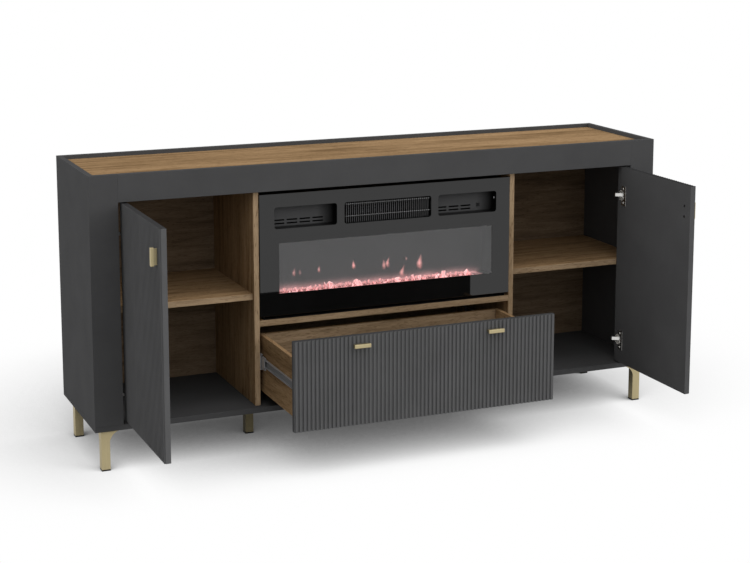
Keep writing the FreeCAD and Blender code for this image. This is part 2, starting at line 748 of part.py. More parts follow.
def channel(web_x, lip_x, height, y):
    """C-shaped runner member with its web at one x value and its two flanges reaching to another."""
    toward = 1 if lip_x > web_x else -1
    hollow_x = sorted((web_x + toward * RUNNER_SHEET, lip_x + toward * CUT_PAST))
    half = height / 2
    outside = block(sorted((web_x, lip_x)), y, (RUNNER_HEIGHT - half, RUNNER_HEIGHT + half))
    hollow_z = (RUNNER_HEIGHT - half + RUNNER_SHEET, RUNNER_HEIGHT + half - RUNNER_SHEET)
    return outside.cut(block(hollow_x, (y[0] - CUT_PAST, y[1] + CUT_PAST), hollow_z))


def runner_outer():
    """Member screwed to the divider."""
    start = DIVIDER_FRONT
    return channel(
        -DIVIDER_INNER,
        -DIVIDER_INNER + RUNNER_OUTER_REACH,
        RUNNER_OUTER_HEIGHT,
        (start, start + RUNNER_LENGTH),
    )


def runner_middle():
    """Member that travels half as far as the drawer, with the bearing strips it runs on."""
    start = DIVIDER_FRONT + RUNNER_MIDDLE_SETBACK
    end = DIVIDER_FRONT + RUNNER_LENGTH - RUNNER_MIDDLE_SHORTER
    web = -DIVIDER_INNER + RUNNER_MIDDLE_START
    lip = -DIVIDER_INNER + RUNNER_OUTER_REACH
    half = RUNNER_MIDDLE_HEIGHT / 2
    solids = [channel(web, lip, RUNNER_MIDDLE_HEIGHT, (start, end))]
    outside = (half, RUNNER_OUTER_HEIGHT / 2 - RUNNER_SHEET - RUNNING_FIT)
    inside = (RUNNER_INNER_HEIGHT / 2 + RUNNING_FIT, half - RUNNER_SHEET)
    inner_tip = -DIVIDER_INNER + RUNNER_INNER_START
    solids += bearing_strips((web, lip), (end - BEARING_LENGTH, end), outside)
    solids += bearing_strips((inner_tip, lip), (start, start + BEARING_LENGTH), inside)
    return solids


def bearing_strips(x, y, lift):
    """Two bars above and below the middle of the runner, between two heights."""
    above = block(x, y, (RUNNER_HEIGHT + lift[0], RUNNER_HEIGHT + lift[1]))
    below = block(x, y, (RUNNER_HEIGHT - lift[1], RUNNER_HEIGHT - lift[0]))
    return [above, below]


def runner_inner():
    """Member screwed to the drawer side."""
    start = DIVIDER_FRONT
    return channel(
        -DRAWER_SIDE_OUTER,
        -DIVIDER_INNER + RUNNER_INNER_START,
        RUNNER_INNER_HEIGHT,
        (start, start + RUNNER_LENGTH),
    )


# Fireplace

def vent_opening(x, y):
    return rounded_along(Y_AXIS, block(x, y, (VENT_BOTTOM, VENT_TOP)), VENT_RADIUS)


def front_glass():
    """Black glass with three round-cornered openings along its top."""
    pane = block((-GLASS_HALF, GLASS_HALF), (GLASS_FRONT, GLASS_BACK), (GLASS_BOTTOM, GLASS_TOP))
    front_edges = [edge for edge in pane.Edges if edge.BoundBox.YMax < GLASS_FRONT + GLASS_ROUNDING]
    pane = pane.makeChamfer(GLASS_ROUNDING, front_edges)
    through = (GLASS_FRONT - CUT_PAST, GLASS_BACK + CUT_PAST)
    openings = [
        vent_opening((-VENT_OUTER_X, -VENT_INNER_X), through),
        vent_opening((-GRILLE_HALF, GRILLE_HALF), through),
        vent_opening((VENT_INNER_X, VENT_OUTER_X), through),
    ]
    return pane.cut(openings)


def grown(x, amount):
    return (x[0] - amount, x[1] + amount)


def vent_block(x, y, amount):
    """A plain block round a vent opening, larger than it all round."""
    return block(grown(x, amount), y, grown((VENT_BOTTOM, VENT_TOP), amount))


def vent_tray(x, slot_count):
    """Open-fronted tray behind the glass with a flange and two rows of air slots low in its floor."""
    flange = vent_block(x, (GLASS_BACK, GLASS_BACK + TRAY_WALL), TRAY_FLANGE)
    cup = vent_block(x, (GLASS_BACK, TRAY_FLOOR + TRAY_WALL), TRAY_WALL)
    hollow = vent_opening(x, (GLASS_BACK - CUT_PAST, TRAY_FLOOR))
    cuts = [hollow]
    for row in (0, 1):
        low = VENT_BOTTOM + SLOT_ROW_LIFT + row * SLOT_ROW_PITCH
        for index in range(slot_count):
            start = x[0] + VENT_RADIUS + index * SLOT_PITCH
            slot_y = (TRAY_FLOOR - CUT_PAST, TRAY_FLOOR + TRAY_WALL + CUT_PAST)
            cuts.append(block((start, start + SLOT_LENGTH), slot_y, (low, low + SLOT_HEIGHT)))
    return joined([flange, cup]).cut(cuts)


def button_x():
    return VENT_OUTER_X - BUTTON_FROM_TRAY_END


def button_z():
    return VENT_BOTTOM + SLOT_ROW_LIFT + SLOT_ROW_PITCH + SLOT_HEIGHT / 2


def button_block(fit, y):
    half_width = BUTTON_WIDTH / 2 + fit
    half_height = BUTTON_HEIGHT / 2 + fit
    return block(
        (button_x() - half_width, button_x() + half_width),
        y,
        (button_z() - half_height, button_z() + half_height),
    )


def control_tray():
    """Right tray with fewer slots and the hole of the power button."""
    through = (TRAY_FLOOR - CUT_PAST, TRAY_FLOOR + TRAY_WALL + CUT_PAST)
    return vent_tray((VENT_INNER_X, VENT_OUTER_X), 3).cut(button_block(BUTTON_FIT, through))


def power_button():
    """Square push button held by a flange behind the tray floor."""
    back = TRAY_FLOOR + TRAY_WALL
    stem = button_block(0, (TRAY_FLOOR - BUTTON_PROUD, back + BUTTON_FIT + BUTTON_FLANGE))
    collar = button_block(BUTTON_FLANGE, (back + BUTTON_FIT, back + BUTTON_FIT + BUTTON_FLANGE))
    return joined([stem, collar])


def heater_grille():
    """Frame of upright fins behind the middle opening, tied by two thin cross wires."""
    x = (-GRILLE_HALF, GRILLE_HALF)
    frame = vent_block(x, (GLASS_BACK, GLASS_BACK + TRAY_WALL), TRAY_FLANGE)
    wall = vent_block(x, (GLASS_BACK, GRILLE_BACK), TRAY_WALL)
    hollow = vent_opening(x, (GLASS_BACK - CUT_PAST, GRILLE_BACK + CUT_PAST))
    pieces = [joined([frame, wall]).cut(hollow)]
    count = int((2 * GRILLE_HALF - FIN_PITCH) / FIN_PITCH)
    first = -FIN_PITCH * (count - 1) / 2
    fin_y = (GLASS_BACK + WIRE_SIZE, GRILLE_BACK)
    for index in range(count):
        middle = first + index * FIN_PITCH
        fin_x = (middle - FIN_WIDTH / 2, middle + FIN_WIDTH / 2)
        pieces.append(block(fin_x, fin_y, (VENT_BOTTOM, VENT_TOP)))
    solids = [joined(pieces)]
    wire_y = (GLASS_BACK, GLASS_BACK + WIRE_SIZE)
    for lift in WIRE_HEIGHTS:
        solids.append(block(x, wire_y, (VENT_BOTTOM + lift, VENT_BOTTOM + lift + WIRE_SIZE)))
    return solids


def fireplace_housing():
    """Sheet wrap of four walls behind the glass."""
    outside = block(
        (-HOUSING_HALF, HOUSING_HALF),
        (GLASS_BACK, HOUSING_BACK),
        (FIREPLACE_SHELF_TOP, HOUSING_TOP),
    )
    inside = block(
        (-HOUSING_HALF + SHEET, HOUSING_HALF - SHEET),
        (GLASS_BACK - CUT_PAST, HOUSING_BACK + CUT_PAST),
        (HOUSING_FLOOR, HOUSING_CEILING),
    )
    return outside.cut(inside)


def fireplace_back_plate():
    """Sheet that closes the back of the wrap, with air slots and the hole of the cord gland."""
    plate = block(
        (-HOUSING_HALF + SHEET, HOUSING_HALF - SHEET),
        (HOUSING_BACK - SHEET, HOUSING_BACK),
        (HOUSING_FLOOR, HOUSING_CEILING),
    )
    through = (HOUSING_BACK - SHEET - CUT_PAST, HOUSING_BACK + CUT_PAST)
    cuts = [gland_body(through)]
    for row in range(AIR_ROWS):
        low = ROTOR_Z + (row - AIR_ROWS / 2) * 2 * AIR_SLOT_HEIGHT
        for index in range(AIR_COLUMNS):
            middle = (index - (AIR_COLUMNS - 1) / 2) * AIR_SLOT_PITCH
            slot_x = (middle - AIR_SLOT_LENGTH / 2, middle + AIR_SLOT_LENGTH / 2)
            cuts.append(block(slot_x, through, (low, low + AIR_SLOT_HEIGHT)))
    return plate.cut(cuts)


def gland_body(y):
    start = Vector(CABLE_X, y[0], SPINDLE_Z)
    return faceted_rod(GLAND_RADIUS, GLAND_SIDES, y[1] - y[0], start, Y_AXIS)


def cord_gland():
    """Bush with a six-sided flange in the back plate that the mains cord would pass through."""
    front = HOUSING_BACK - GLAND_DEPTH
    nut_start = Vector(CABLE_X, HOUSING_BACK, SPINDLE_Z)
    nut = faceted_rod(GLAND_NUT_RADIUS, GLAND_NUT_SIDES, GLAND_FLANGE, nut_start, Y_AXIS)
    bore = rod(GLAND_BORE, GLAND_DEPTH + GLAND_FLANGE, Vector(CABLE_X, front, SPINDLE_Z), Y_AXIS)
    return joined([gland_body((front, HOUSING_BACK)), nut]).cut(bore)


def blower_housing():
    """Sheet duct behind the grille, hung under the housing top, with shaft holes in its ends."""
    outside = block((-DUCT_HALF, DUCT_HALF), (GRILLE_BACK, DUCT_BACK), (DUCT_BOTTOM, HOUSING_CEILING))
    inside = block(
        (-DUCT_HALF + SHEET, DUCT_HALF - SHEET),
        (GRILLE_BACK - CUT_PAST, DUCT_BACK - SHEET),
        (DUCT_BOTTOM + SHEET, HOUSING_CEILING - SHEET),
    )
    intake = block(
        (-ROTOR_HALF, ROTOR_HALF),
        (DUCT_BACK - SHEET - CUT_PAST, DUCT_BACK + CUT_PAST),
        (ROTOR_Z - ROTOR_RADIUS / 2, ROTOR_Z + ROTOR_RADIUS / 2),
    )
    start = Vector(-DUCT_HALF - CUT_PAST, ROTOR_Y, ROTOR_Z)
    shaft = rod(SHAFT_RADIUS + RUNNING_FIT, 2 * (DUCT_HALF + CUT_PAST), start, X_AXIS)
    return outside.cut([inside, intake, shaft])


def blower_rotor():
    """Long drum of straight blades between two end discs on one shaft."""
    centre = Vector(0, ROTOR_Y, ROTOR_Z)
    shaft_half = DUCT_HALF + MOTOR_LENGTH / 2
    pieces = [rod(SHAFT_RADIUS, 2 * shaft_half, centre - X_AXIS * shaft_half, X_AXIS)]
    for start_x in (-ROTOR_HALF, ROTOR_HALF - ROTOR_DISC):
        start = centre + X_AXIS * start_x
        pieces.append(faceted_rod(ROTOR_RADIUS, 2 * ROTOR_BLADES, ROTOR_DISC, start, X_AXIS))
    blade = block(
        (-ROTOR_HALF, ROTOR_HALF),
        (-SHEET / 2, SHEET / 2),
        (ROTOR_RADIUS - ROTOR_BLADE_DEPTH, ROTOR_RADIUS - SHEET),
    )
    for index in range(ROTOR_BLADES):
        pieces.append(blade.rotated(ORIGIN, X_AXIS, 360.0 * index / ROTOR_BLADES).translated(centre))
    return joined(pieces)


def blower_motor():
    """Square iron motor beside the right end of the duct with a blind hole for the shaft."""
    half = MOTOR_SIDE / 2
    body = block(
        (DUCT_HALF, DUCT_HALF + MOTOR_LENGTH),
        (ROTOR_Y - half, ROTOR_Y + half),
        (ROTOR_Z - half, ROTOR_Z + half),
    )
    start = Vector(DUCT_HALF, ROTOR_Y, ROTOR_Z)
    return body.cut(rod(SHAFT_RADIUS + RUNNING_FIT, MOTOR_LENGTH / 2 + CUT_PAST, start, X_AXIS))


def heater_element():
    """Heating block standing in the duct, cut through by upright air passages."""
    z = (DUCT_BOTTOM + SHEET, DUCT_BOTTOM + SHEET + HEATER_HEIGHT)
    y = (HEATER_FRONT, HEATER_FRONT + HEATER_DEPTH)
    pitch = 2 * (HEATER_HALF - HEATER_RIM) / HEATER_FINS
    cuts = []
    for index in range(HEATER_FINS):
        start = -HEATER_HALF + HEATER_RIM + index * pitch
        passage_z = (z[0] + HEATER_RIM, z[1] - HEATER_RIM)
        cuts.append(block((start + pitch / 4, start + pitch), grown(y, CUT_PAST), passage_z))
    return block((-HEATER_HALF, HEATER_HALF), y, z).cut(cuts)


def ember_tray():
    """Folded tray below the window whose two end plates stand on the floor and carry the spindle."""
    level = block(
        (-EMBER_HALF, EMBER_HALF),
        (EMBER_FRONT, SCREEN_FRONT),
        (EMBER_TOP - SHEET, EMBER_TOP),
    )
    slot_y = EMBER_FRONT + EMBER_DEPTH / 2
    slot = block(
        (-EMBER_SLOT_HALF, EMBER_SLOT_HALF),
        (slot_y - EMBER_SLOT_WIDTH / 2, slot_y + EMBER_SLOT_WIDTH / 2),
        (EMBER_TOP - 2 * SHEET, EMBER_TOP + SHEET),
    )
    end = block(
        (-EMBER_HALF - SHEET, -EMBER_HALF),
        (EMBER_FRONT, EMBER_FRONT + EMBER_END_DEPTH),
        (HOUSING_FLOOR, HOUSING_FLOOR + EMBER_END_HEIGHT),
    )
    start = Vector(-EMBER_HALF - 2 * SHEET, SPINDLE_Y, SPINDLE_Z)
    bores = rod(SHAFT_RADIUS + RUNNING_FIT, 2 * (EMBER_HALF + 2 * SHEET), start, X_AXIS)
    return joined([level, end, other_side(end)]).cut([slot, bores])


def ember_light():
    """Strip of small lamps on a board held against the underside of the tray."""
    slot_y = EMBER_FRONT + EMBER_DEPTH / 2
    top = EMBER_TOP - SHEET
    board = block(
        (-EMBER_SLOT_HALF, EMBER_SLOT_HALF),
        (slot_y - EMBER_SLOT_WIDTH, slot_y + EMBER_SLOT_WIDTH),
        (top - LED_BOARD, top),
    )
    pieces = [board]
    pitch = 2 * EMBER_SLOT_HALF / LED_COUNT
    for index in range(LED_COUNT):
        middle = -EMBER_SLOT_HALF + (index + 0.5) * pitch
        lamp_x = (middle - LED_SIZE / 2, middle + LED_SIZE / 2)
        lamp_y = (slot_y - LED_SIZE / 2, slot_y + LED_SIZE / 2)
        pieces.append(block(lamp_x, lamp_y, (top, EMBER_TOP)))
    return joined(pieces)


def crystal(x, y, radius, height, turn):
    """Six-sided stone, widest a third of the way up and flat at its top and bottom."""
    rings = []
    for lift, share in ((0.0, 0.7), (0.35, 1.0), (1.0, 0.3)):
        ring = []
        for index in range(6):
            angle = turn + index * math.pi / 3
            corner = Vector(math.cos(angle), math.sin(angle), 0) * (radius * share)
            ring.append(corner + Vector(x, y, EMBER_TOP + lift * height))
        rings.append(ring)
    outlines = [rings[0], rings[-1]]
    for lower, upper in zip(rings, rings[1:]):
        for index in range(6):
            outlines.append([lower[index - 1], lower[index], upper[index], upper[index - 1]])
    faces = [Part.Face(Part.makePolygon(outline + outline[:1])) for outline in outlines]
    return Part.Solid(Part.Shell(faces))


def crystals():
    """A row of stones of mixed sizes along the front of the tray."""
    stones = []
    pitch = 2 * EMBER_SLOT_HALF / CRYSTALS
    for index in range(CRYSTALS):
        wide_mix = (index * GOLDEN_STEP) % 1.0
        high_mix = (index * GOLDEN_STEP ** 2) % 1.0
        radius = CRYSTAL_RADIUS * (1 - CRYSTAL_WIDTH_MIX * wide_mix)
        height = CRYSTAL_HEIGHT * (1 - CRYSTAL_HEIGHT_MIX * high_mix)
        x = -EMBER_SLOT_HALF + (index + 0.5) * pitch
        row = index % 2
        y = EMBER_FRONT + CRYSTAL_FRONT_GAP + (1 + row) * CRYSTAL_RADIUS
        stones.append(crystal(x, y, radius, height, wide_mix * math.pi))
    return stones


def flame_screen():
    """Upright sheet behind the stones that the flame light falls on."""
    half = EMBER_HALF - SCREEN_END_GAP
    return block(
        (-half, half),
        (SCREEN_FRONT, SCREEN_FRONT + SCREEN_THICKNESS),
        (HOUSING_FLOOR, DUCT_BOTTOM - SCREEN_BELOW_DUCT),
    )


def flame_spindle():
    """Turning rod with small mirrors set round it step by step."""
    centre = Vector(0, SPINDLE_Y, SPINDLE_Z)
    half = EMBER_HALF + SHEET
    pieces = [rod(SHAFT_RADIUS, 2 * half + FLAME_MOTOR_LENGTH / 2, centre - X_AXIS * half, X_AXIS)]
    pitch = 2 * (half - FLAG_LENGTH) / SPINDLE_FLAGS
    for index in range(SPINDLE_FLAGS):
        middle = -half + FLAG_LENGTH + (index + 0.5) * pitch
        flag = block(
            (middle - FLAG_LENGTH / 2, middle + FLAG_LENGTH / 2),
            (-FLAG_SHEET / 2, FLAG_SHEET / 2),
            (-FLAG_WIDTH, FLAG_WIDTH),
        )
        pieces.append(flag.rotated(ORIGIN, X_AXIS, FLAG_TURN * index).translated(centre))
    return joined(pieces)


def flame_motor():
    """Flat square gear motor on the right end plate of the tray."""
    half = FLAME_MOTOR_SIDE / 2
    low_x = EMBER_HALF + SHEET
    body = block(
        (low_x, low_x + FLAME_MOTOR_LENGTH),
        (SPINDLE_Y - half, SPINDLE_Y + half),
        (SPINDLE_Z - half, SPINDLE_Z + half),
    )
    start = Vector(low_x, SPINDLE_Y, SPINDLE_Z)
    return body.cut(rod(SHAFT_RADIUS + RUNNING_FIT, FLAME_MOTOR_LENGTH / 2 + CUT_PAST, start, X_AXIS))


def control_board():
    """Circuit board hung from the housing top on four posts, with two relays below it."""
    x = (DUCT_HALF + MOTOR_LENGTH + RELAY, DUCT_HALF + MOTOR_LENGTH + RELAY + BOARD_LENGTH)
    y = (TRAY_FLOOR + RELAY, TRAY_FLOOR + RELAY + BOARD_DEPTH)
    top = HOUSING_CEILING - BOARD_POST
    pieces = [block(x, y, (top - LED_BOARD, top))]
    for post_x in (x[0] + BOARD_POST / 2, x[1] - BOARD_POST / 2):
        for post_y in (y[0] + BOARD_POST / 2, y[1] - BOARD_POST / 2):
            post_start = Vector(post_x, post_y, top)
            pieces.append(faceted_rod(SHAFT_RADIUS, BOARD_POST_SIDES, BOARD_POST, post_start, Z_AXIS))
    for start in (x[0] + RELAY, x[0] + 3 * RELAY):
        relay_y = (y[0] + RELAY, y[0] + 2 * RELAY)
        pieces.append(block((start, start + RELAY), relay_y, (top - LED_BOARD - RELAY, top - LED_BOARD)))
    return joined(pieces)


# Everything by name

def all_parts():
    """Every node with its list of solids, in the open pose."""
    parts = {}

    def add(name, shapes):
        parts[name] = shapes

    def add_pair_group(name, shapes):
        add(name + "_left", shapes)
        add(name + "_right", [other_side(shape) for shape in shapes])

    def add_pair(name, shape):
        add_pair_group(name, [shape])

    add("bottom_panel", [bottom_panel()])
    add_pair("side_panel", side_panel())
    add_pair("front_stile", front_stile())
    add("front_rail", [front_rail()])
    add("back_rail", [back_rail()])
    add("top_panel", [top_panel()])
    add_pair("divider", divider())
    add("fireplace_shelf", [fireplace_shelf()])
    add_pair("shelf", side_shelf())
    add("hinge_battens", mirrored_pair([hinge_batten()]))
    add("side_back_panels", mirrored_pair([side_back_panel()]))
    add("centre_back_panel", [centre_back_panel()])

    corner_places = [front_leg_place, rear_leg_place]
    add("legs_corner", mirrored_pair([place(leg()) for place in corner_places]))
    add("legs_middle", mirrored_pair([middle_leg_place(leg())]))
    add("foot_pads", mirrored_pair([place(foot_pad()) for place in corner_places + [middle_leg_place]]))

    add("hinge_plates", mirrored_pair([hinge_plate(height) for height in HINGE_HEIGHTS]))
    add("hinge_arms", mirrored_pair([hinge_arm(height) for height in HINGE_HEIGHTS]))
    add_pair("door", opened(door()))
    add_pair_group("hinge_cups", [opened(shape) for shape in hinge_cups()])
    add_pair("door_handle", opened(door_handle_place(handle())))
    add_pair_group("door_screws", [opened(door_handle_place(screw)) for screw in handle_screws()])

    add("drawer_front", [pulled(drawer_front())])
    add_pair("drawer_side", pulled(drawer_side()))
    add("drawer_back", [pulled(drawer_back())])
    add("drawer_bottom", [pulled(bottom_slot())])
    add("drawer_handles", mirrored_pair([pulled(drawer_handle_place(handle()))]))
    add("drawer_screws", mirrored_pair([pulled(drawer_handle_place(screw)) for screw in handle_screws()]))
    add("runner_outers", mirrored_pair([runner_outer()]))
    left_runner = [shape.translated(Vector(0, -DRAWER_PULL / 2, 0)) for shape in runner_middle()]
    add_pair_group("runner_middle", left_runner)
    add_pair("runner_inner", pulled(runner_inner()))

    add("fireplace_housing", [fireplace_housing()])
    add("fireplace_back_plate", [fireplace_back_plate()])
    add("front_glass", [front_glass()])
    add("vent_tray", [vent_tray((-VENT_OUTER_X, -VENT_INNER_X), 4)])
    add("control_tray", [control_tray()])
    add("power_button", [power_button()])
    add("heater_grille", heater_grille())
    add("heater_element", [heater_element()])
    add("blower_housing", [blower_housing()])
    add("blower_rotor", [blower_rotor()])
    add("blower_motor", [blower_motor()])
    add("ember_tray", [ember_tray()])
    add("ember_light", [ember_light()])
    add("crystals", crystals())
    add("flame_screen", [flame_screen()])
    add("flame_spindle", [flame_spindle()])
    add("flame_motor", [flame_motor()])
    add("control_board", [control_board()])
    add("cord_gland", [cord_gland()])
    return parts


def write(name, shapes):
    """Write one node with the middle of the whole object above the origin."""
    moved = [shape.translated(Vector(0, -CENTRE_Y, 0)) for shape in shapes]
    whole = moved[0] if len(moved) == 1 else Part.makeCompound(moved)
    whole.exportStep(os.path.join("parts", name + ".step"))


os.makedirs("parts", exist_ok=True)
for node, node_shapes in all_parts().items():
    write(node, node_shapes)
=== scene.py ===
import json
import math
import random

import bmesh
import bpy
from mathutils import Matrix, Vector

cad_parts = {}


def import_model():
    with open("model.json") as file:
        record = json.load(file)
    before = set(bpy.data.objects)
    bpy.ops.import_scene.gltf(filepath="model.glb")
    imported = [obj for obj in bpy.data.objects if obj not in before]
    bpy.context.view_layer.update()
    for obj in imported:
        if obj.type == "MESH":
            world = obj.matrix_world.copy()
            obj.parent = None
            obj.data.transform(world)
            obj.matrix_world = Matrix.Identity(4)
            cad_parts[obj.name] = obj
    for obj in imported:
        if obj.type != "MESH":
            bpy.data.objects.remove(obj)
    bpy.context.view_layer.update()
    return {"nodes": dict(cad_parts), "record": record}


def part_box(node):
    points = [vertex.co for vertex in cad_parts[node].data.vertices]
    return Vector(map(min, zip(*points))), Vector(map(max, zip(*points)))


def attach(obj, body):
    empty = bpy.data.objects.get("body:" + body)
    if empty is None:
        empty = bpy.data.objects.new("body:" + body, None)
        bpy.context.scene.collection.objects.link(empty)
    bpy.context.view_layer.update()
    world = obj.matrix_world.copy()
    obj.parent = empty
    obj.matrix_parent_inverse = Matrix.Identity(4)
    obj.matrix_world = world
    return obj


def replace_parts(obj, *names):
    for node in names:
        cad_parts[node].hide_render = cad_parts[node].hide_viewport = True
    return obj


# A low television cabinet with an electric fireplace, seen with its doors and drawer open.
# All lengths are in metres; x runs to the right, y to the back and z up from the floor.

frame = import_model()
NODES = frame["nodes"]

# Camera
CAMERA_PLACE = (-1.9432, -4.4985, 1.6256)
CAMERA_TURN = 22.871
CAMERA_PITCH = 9.69
FOCAL_LENGTH = 81.05
CAMERA_SHIFT = -0.14
SENSOR_WIDTH = 36.0

# Fireplace window: its place in the glass, and where the painted glow on the screen and on the ember tray
# ends
WINDOW_HALF = 0.3435
WINDOW_BOTTOM = 0.4656
WINDOW_TOP = 0.615
SCREEN_GLOW_HEIGHT = 0.024
SCREEN_GLOW_START = 0.05
SCREEN_GLOW_ENDS = (0.30, 0.345)
BED_PAINTED_GLOW_REACH = 0.002
BED_PAINTED_GLOW_ENDS = (0.316, 0.332)

# Small sizes: the flange round a tray's opening, and the rounding of edges
TRAY_FLANGE = 0.006
BOARD_EDGE = 0.0008
RIB_EDGE = 0.0005
METAL_EDGE = 0.0006
SHARP_ANGLE = 25.0
MERGE_DISTANCE = 0.00001


# Helpers

def new_object(name, mesh, materials, body):
    """Put a mesh in the scene as a piece that rides on a body."""
    piece = bpy.data.objects.new(name, mesh)
    bpy.context.scene.collection.objects.link(piece)
    for entry in materials:
        mesh.materials.append(entry)
    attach(piece, body)
    return piece


def grey(level):
    """A colour without a hue."""
    return (level, level, level)


def soften_edges(piece, width, segments=2, clamp=True):
    """Round the sharp edges of a piece with modifiers, clamped where short edges leave less room."""
    weld = piece.modifiers.new("weld", "WELD")
    weld.merge_threshold = MERGE_DISTANCE
    bevel = piece.modifiers.new("edges", "BEVEL")
    bevel.width = width
    bevel.segments = segments
    bevel.limit_method = "ANGLE"
    bevel.angle_limit = math.radians(SHARP_ANGLE)
    bevel.use_clamp_overlap = clamp
    bevel.harden_normals = True


# Material building blocks

OPENNESS_SAMPLES = 32


class Surface:
    """A material with a Principled shader and short ways to add nodes to it."""

    def __init__(self, name):
        self.material = bpy.data.materials.new(name)
        self.material.use_nodes = True
        self.tree = self.material.node_tree
        self.shader = self.tree.nodes["Principled BSDF"]

    def node(self, kind, **settings):
        """A new node with some of its properties set."""
        made = self.tree.nodes.new(kind)
        for key, value in settings.items():
            setattr(made, key, value)
        return made

    def link(self, source, target):
        self.tree.links.new(source, target)

    def set(self, **values):
        """Set shader sockets by name, with underscores for spaces."""
        for key, value in values.items():
            self.shader.inputs[key.replace("_", " ")].default_value = value

    def coordinates(self, scale=(1, 1, 1), spread=0.0):
        """Object coordinates scaled along each axis, moved by a random amount on each object."""
        place = self.node("ShaderNodeTexCoord").outputs["Object"]
        if spread:
            info = self.node("ShaderNodeObjectInfo")
            shift = self.node("ShaderNodeVectorMath", operation="SCALE")
            shift.inputs[0].default_value = (spread, spread * 0.7, spread * 1.3)
            self.link(info.outputs["Random"], shift.inputs["Scale"])
            moved = self.node("ShaderNodeVectorMath", operation="ADD")
            self.link(place, moved.inputs[0])
            self.link(shift.outputs[0], moved.inputs[1])
            place = moved.outputs[0]
        mapping = self.node("ShaderNodeMapping")
        mapping.inputs["Scale"].default_value = scale
        self.link(place, mapping.inputs["Vector"])
        return mapping.outputs["Vector"]

    def noise(self, vector, scale, detail=4.0, roughness=0.55, distortion=0.0):
        """Soft random values between 0 and 1 over a vector."""
        made = self.node("ShaderNodeTexNoise")
        made.inputs["Scale"].default_value = scale
        made.inputs["Detail"].default_value = detail
        made.inputs["Roughness"].default_value = roughness
        made.inputs["Distortion"].default_value = distortion
        self.link(vector, made.inputs["Vector"])
        return made.outputs["Fac"]

    def ramp(self, value, stops):
        """Colours at given positions of a value between 0 and 1."""
        made = self.node("ShaderNodeValToRGB")
        elements = made.color_ramp.elements
        while len(elements) < len(stops):
            elements.new(0.5)
        for element, (position, colour) in zip(elements, stops):
            element.position = position
            element.color = (*colour, 1.0)
        self.link(value, made.inputs["Fac"])
        return made.outputs["Color"]

    def mix(self, factor, first, second, blend="MIX"):
        """Blend two colours; each may be a socket or a plain colour."""
        made = self.node("ShaderNodeMix", data_type="RGBA", blend_type=blend)
        for value, socket in ((factor, made.inputs[0]), (first, made.inputs[6]), (second, made.inputs[7])):
            if isinstance(value, bpy.types.NodeSocket):
                self.link(value, socket)
            else:
                socket.default_value = value
        return made.outputs[2]

    def spread(self, value, low, high):
        """A value between 0 and 1 moved into another range."""
        made = self.node("ShaderNodeMapRange")
        made.inputs["To Min"].default_value = low
        made.inputs["To Max"].default_value = high
        self.link(value, made.inputs["Value"])
        return made.outputs["Result"]

    def between(self, value, start, end):
        """0 where a value is at its start, rising to 1 at its end."""
        made = self.node("ShaderNodeMapRange")
        made.inputs["From Min"].default_value = start
        made.inputs["From Max"].default_value = end
        self.link(value, made.inputs["Value"])
        return made.outputs["Result"]

    def size_of(self, value):
        """A value without its sign."""
        made = self.node("ShaderNodeMath", operation="ABSOLUTE")
        self.link(value, made.inputs[0])
        return made.outputs[0]

    def facing(self, axis):
        """How far a face looks along an axis of its object, either way, from 0 to 1."""
        parts = self.node("ShaderNodeSeparateXYZ")
        self.link(self.node("ShaderNodeTexCoord").outputs["Normal"], parts.inputs[0])
        return self.size_of(parts.outputs[axis])

    def position(self):
        """The x, y and z sockets of the object coordinates."""
        parts = self.node("ShaderNodeSeparateXYZ")
        self.link(self.node("ShaderNodeTexCoord").outputs["Object"], parts.inputs[0])
        return parts.outputs

    def openness(self, reach, lean=0.0):
        """1 on open faces, falling to 0 in corners and recesses; it may lean some degrees to the front."""
        made = self.node("ShaderNodeAmbientOcclusion", samples=OPENNESS_SAMPLES)
        made.inputs["Distance"].default_value = reach
        if lean:
            turn = self.node("ShaderNodeVectorRotate", rotation_type="X_AXIS")
            turn.inputs["Angle"].default_value = math.radians(lean)
            self.link(self.node("ShaderNodeNewGeometry").outputs["Normal"], turn.inputs["Vector"])
            self.link(turn.outputs["Vector"], made.inputs["Normal"])
        return made.outputs["AO"]

    def bump(self, height, strength, distance):
        """Tilt the shading by a height over the surface."""
        made = self.node("ShaderNodeBump")
        made.inputs["Strength"].default_value = strength
        made.inputs["Distance"].default_value = distance
        self.link(height, made.inputs["Height"])
        self.link(made.outputs["Normal"], self.shader.inputs["Normal"])

    def colour(self, socket):
        """Use a socket as the colour of the surface."""
        self.link(socket, self.shader.inputs["Base Color"])

    def glow(self, socket, strength):
        """Own light in a colour, too weak to be sampled as a lamp."""
        self.link(socket, self.shader.inputs["Emission Color"])
        self.set(Emission_Strength=strength)
        self.material.cycles.emission_sampling = "NONE"

    def roughness(self, value, low, high):
        """Vary the roughness between two limits with a value."""
        self.link(self.spread(value, low, high), self.shader.inputs["Roughness"])


# Materials

def anthracite_surface(name, painted_light_scale):
    """Dark grey laminate with a fine pearled face, and its colour socket; painted light scales it for lit
    copies.
    """
    surface = Surface(name)
    place = surface.coordinates(spread=3.0)
    cloud = surface.noise(place, 9.0, 3.0)
    pearl = surface.noise(place, 900.0, 2.0)

    def cool_grey(level):
        return (level * painted_light_scale, level * painted_light_scale, level * painted_light_scale * 1.015)

    board = surface.ramp(cloud, [(0.3, cool_grey(0.062)), (0.7, cool_grey(0.072))])
    flecks = surface.ramp(pearl, [(0.35, cool_grey(0.045)), (0.65, cool_grey(0.089))])
    colour = surface.mix(0.25, board, flecks)
    surface.colour(colour)
    surface.roughness(pearl, 0.58, 0.72)
    surface.bump(pearl, 0.25, 0.0002)
    surface.set(Specular_IOR_Level=0.0)
    return surface, colour


# How much painted light brightens the free edge of a door over its face
FREE_EDGE_PAINTED_LIGHT = 1.25


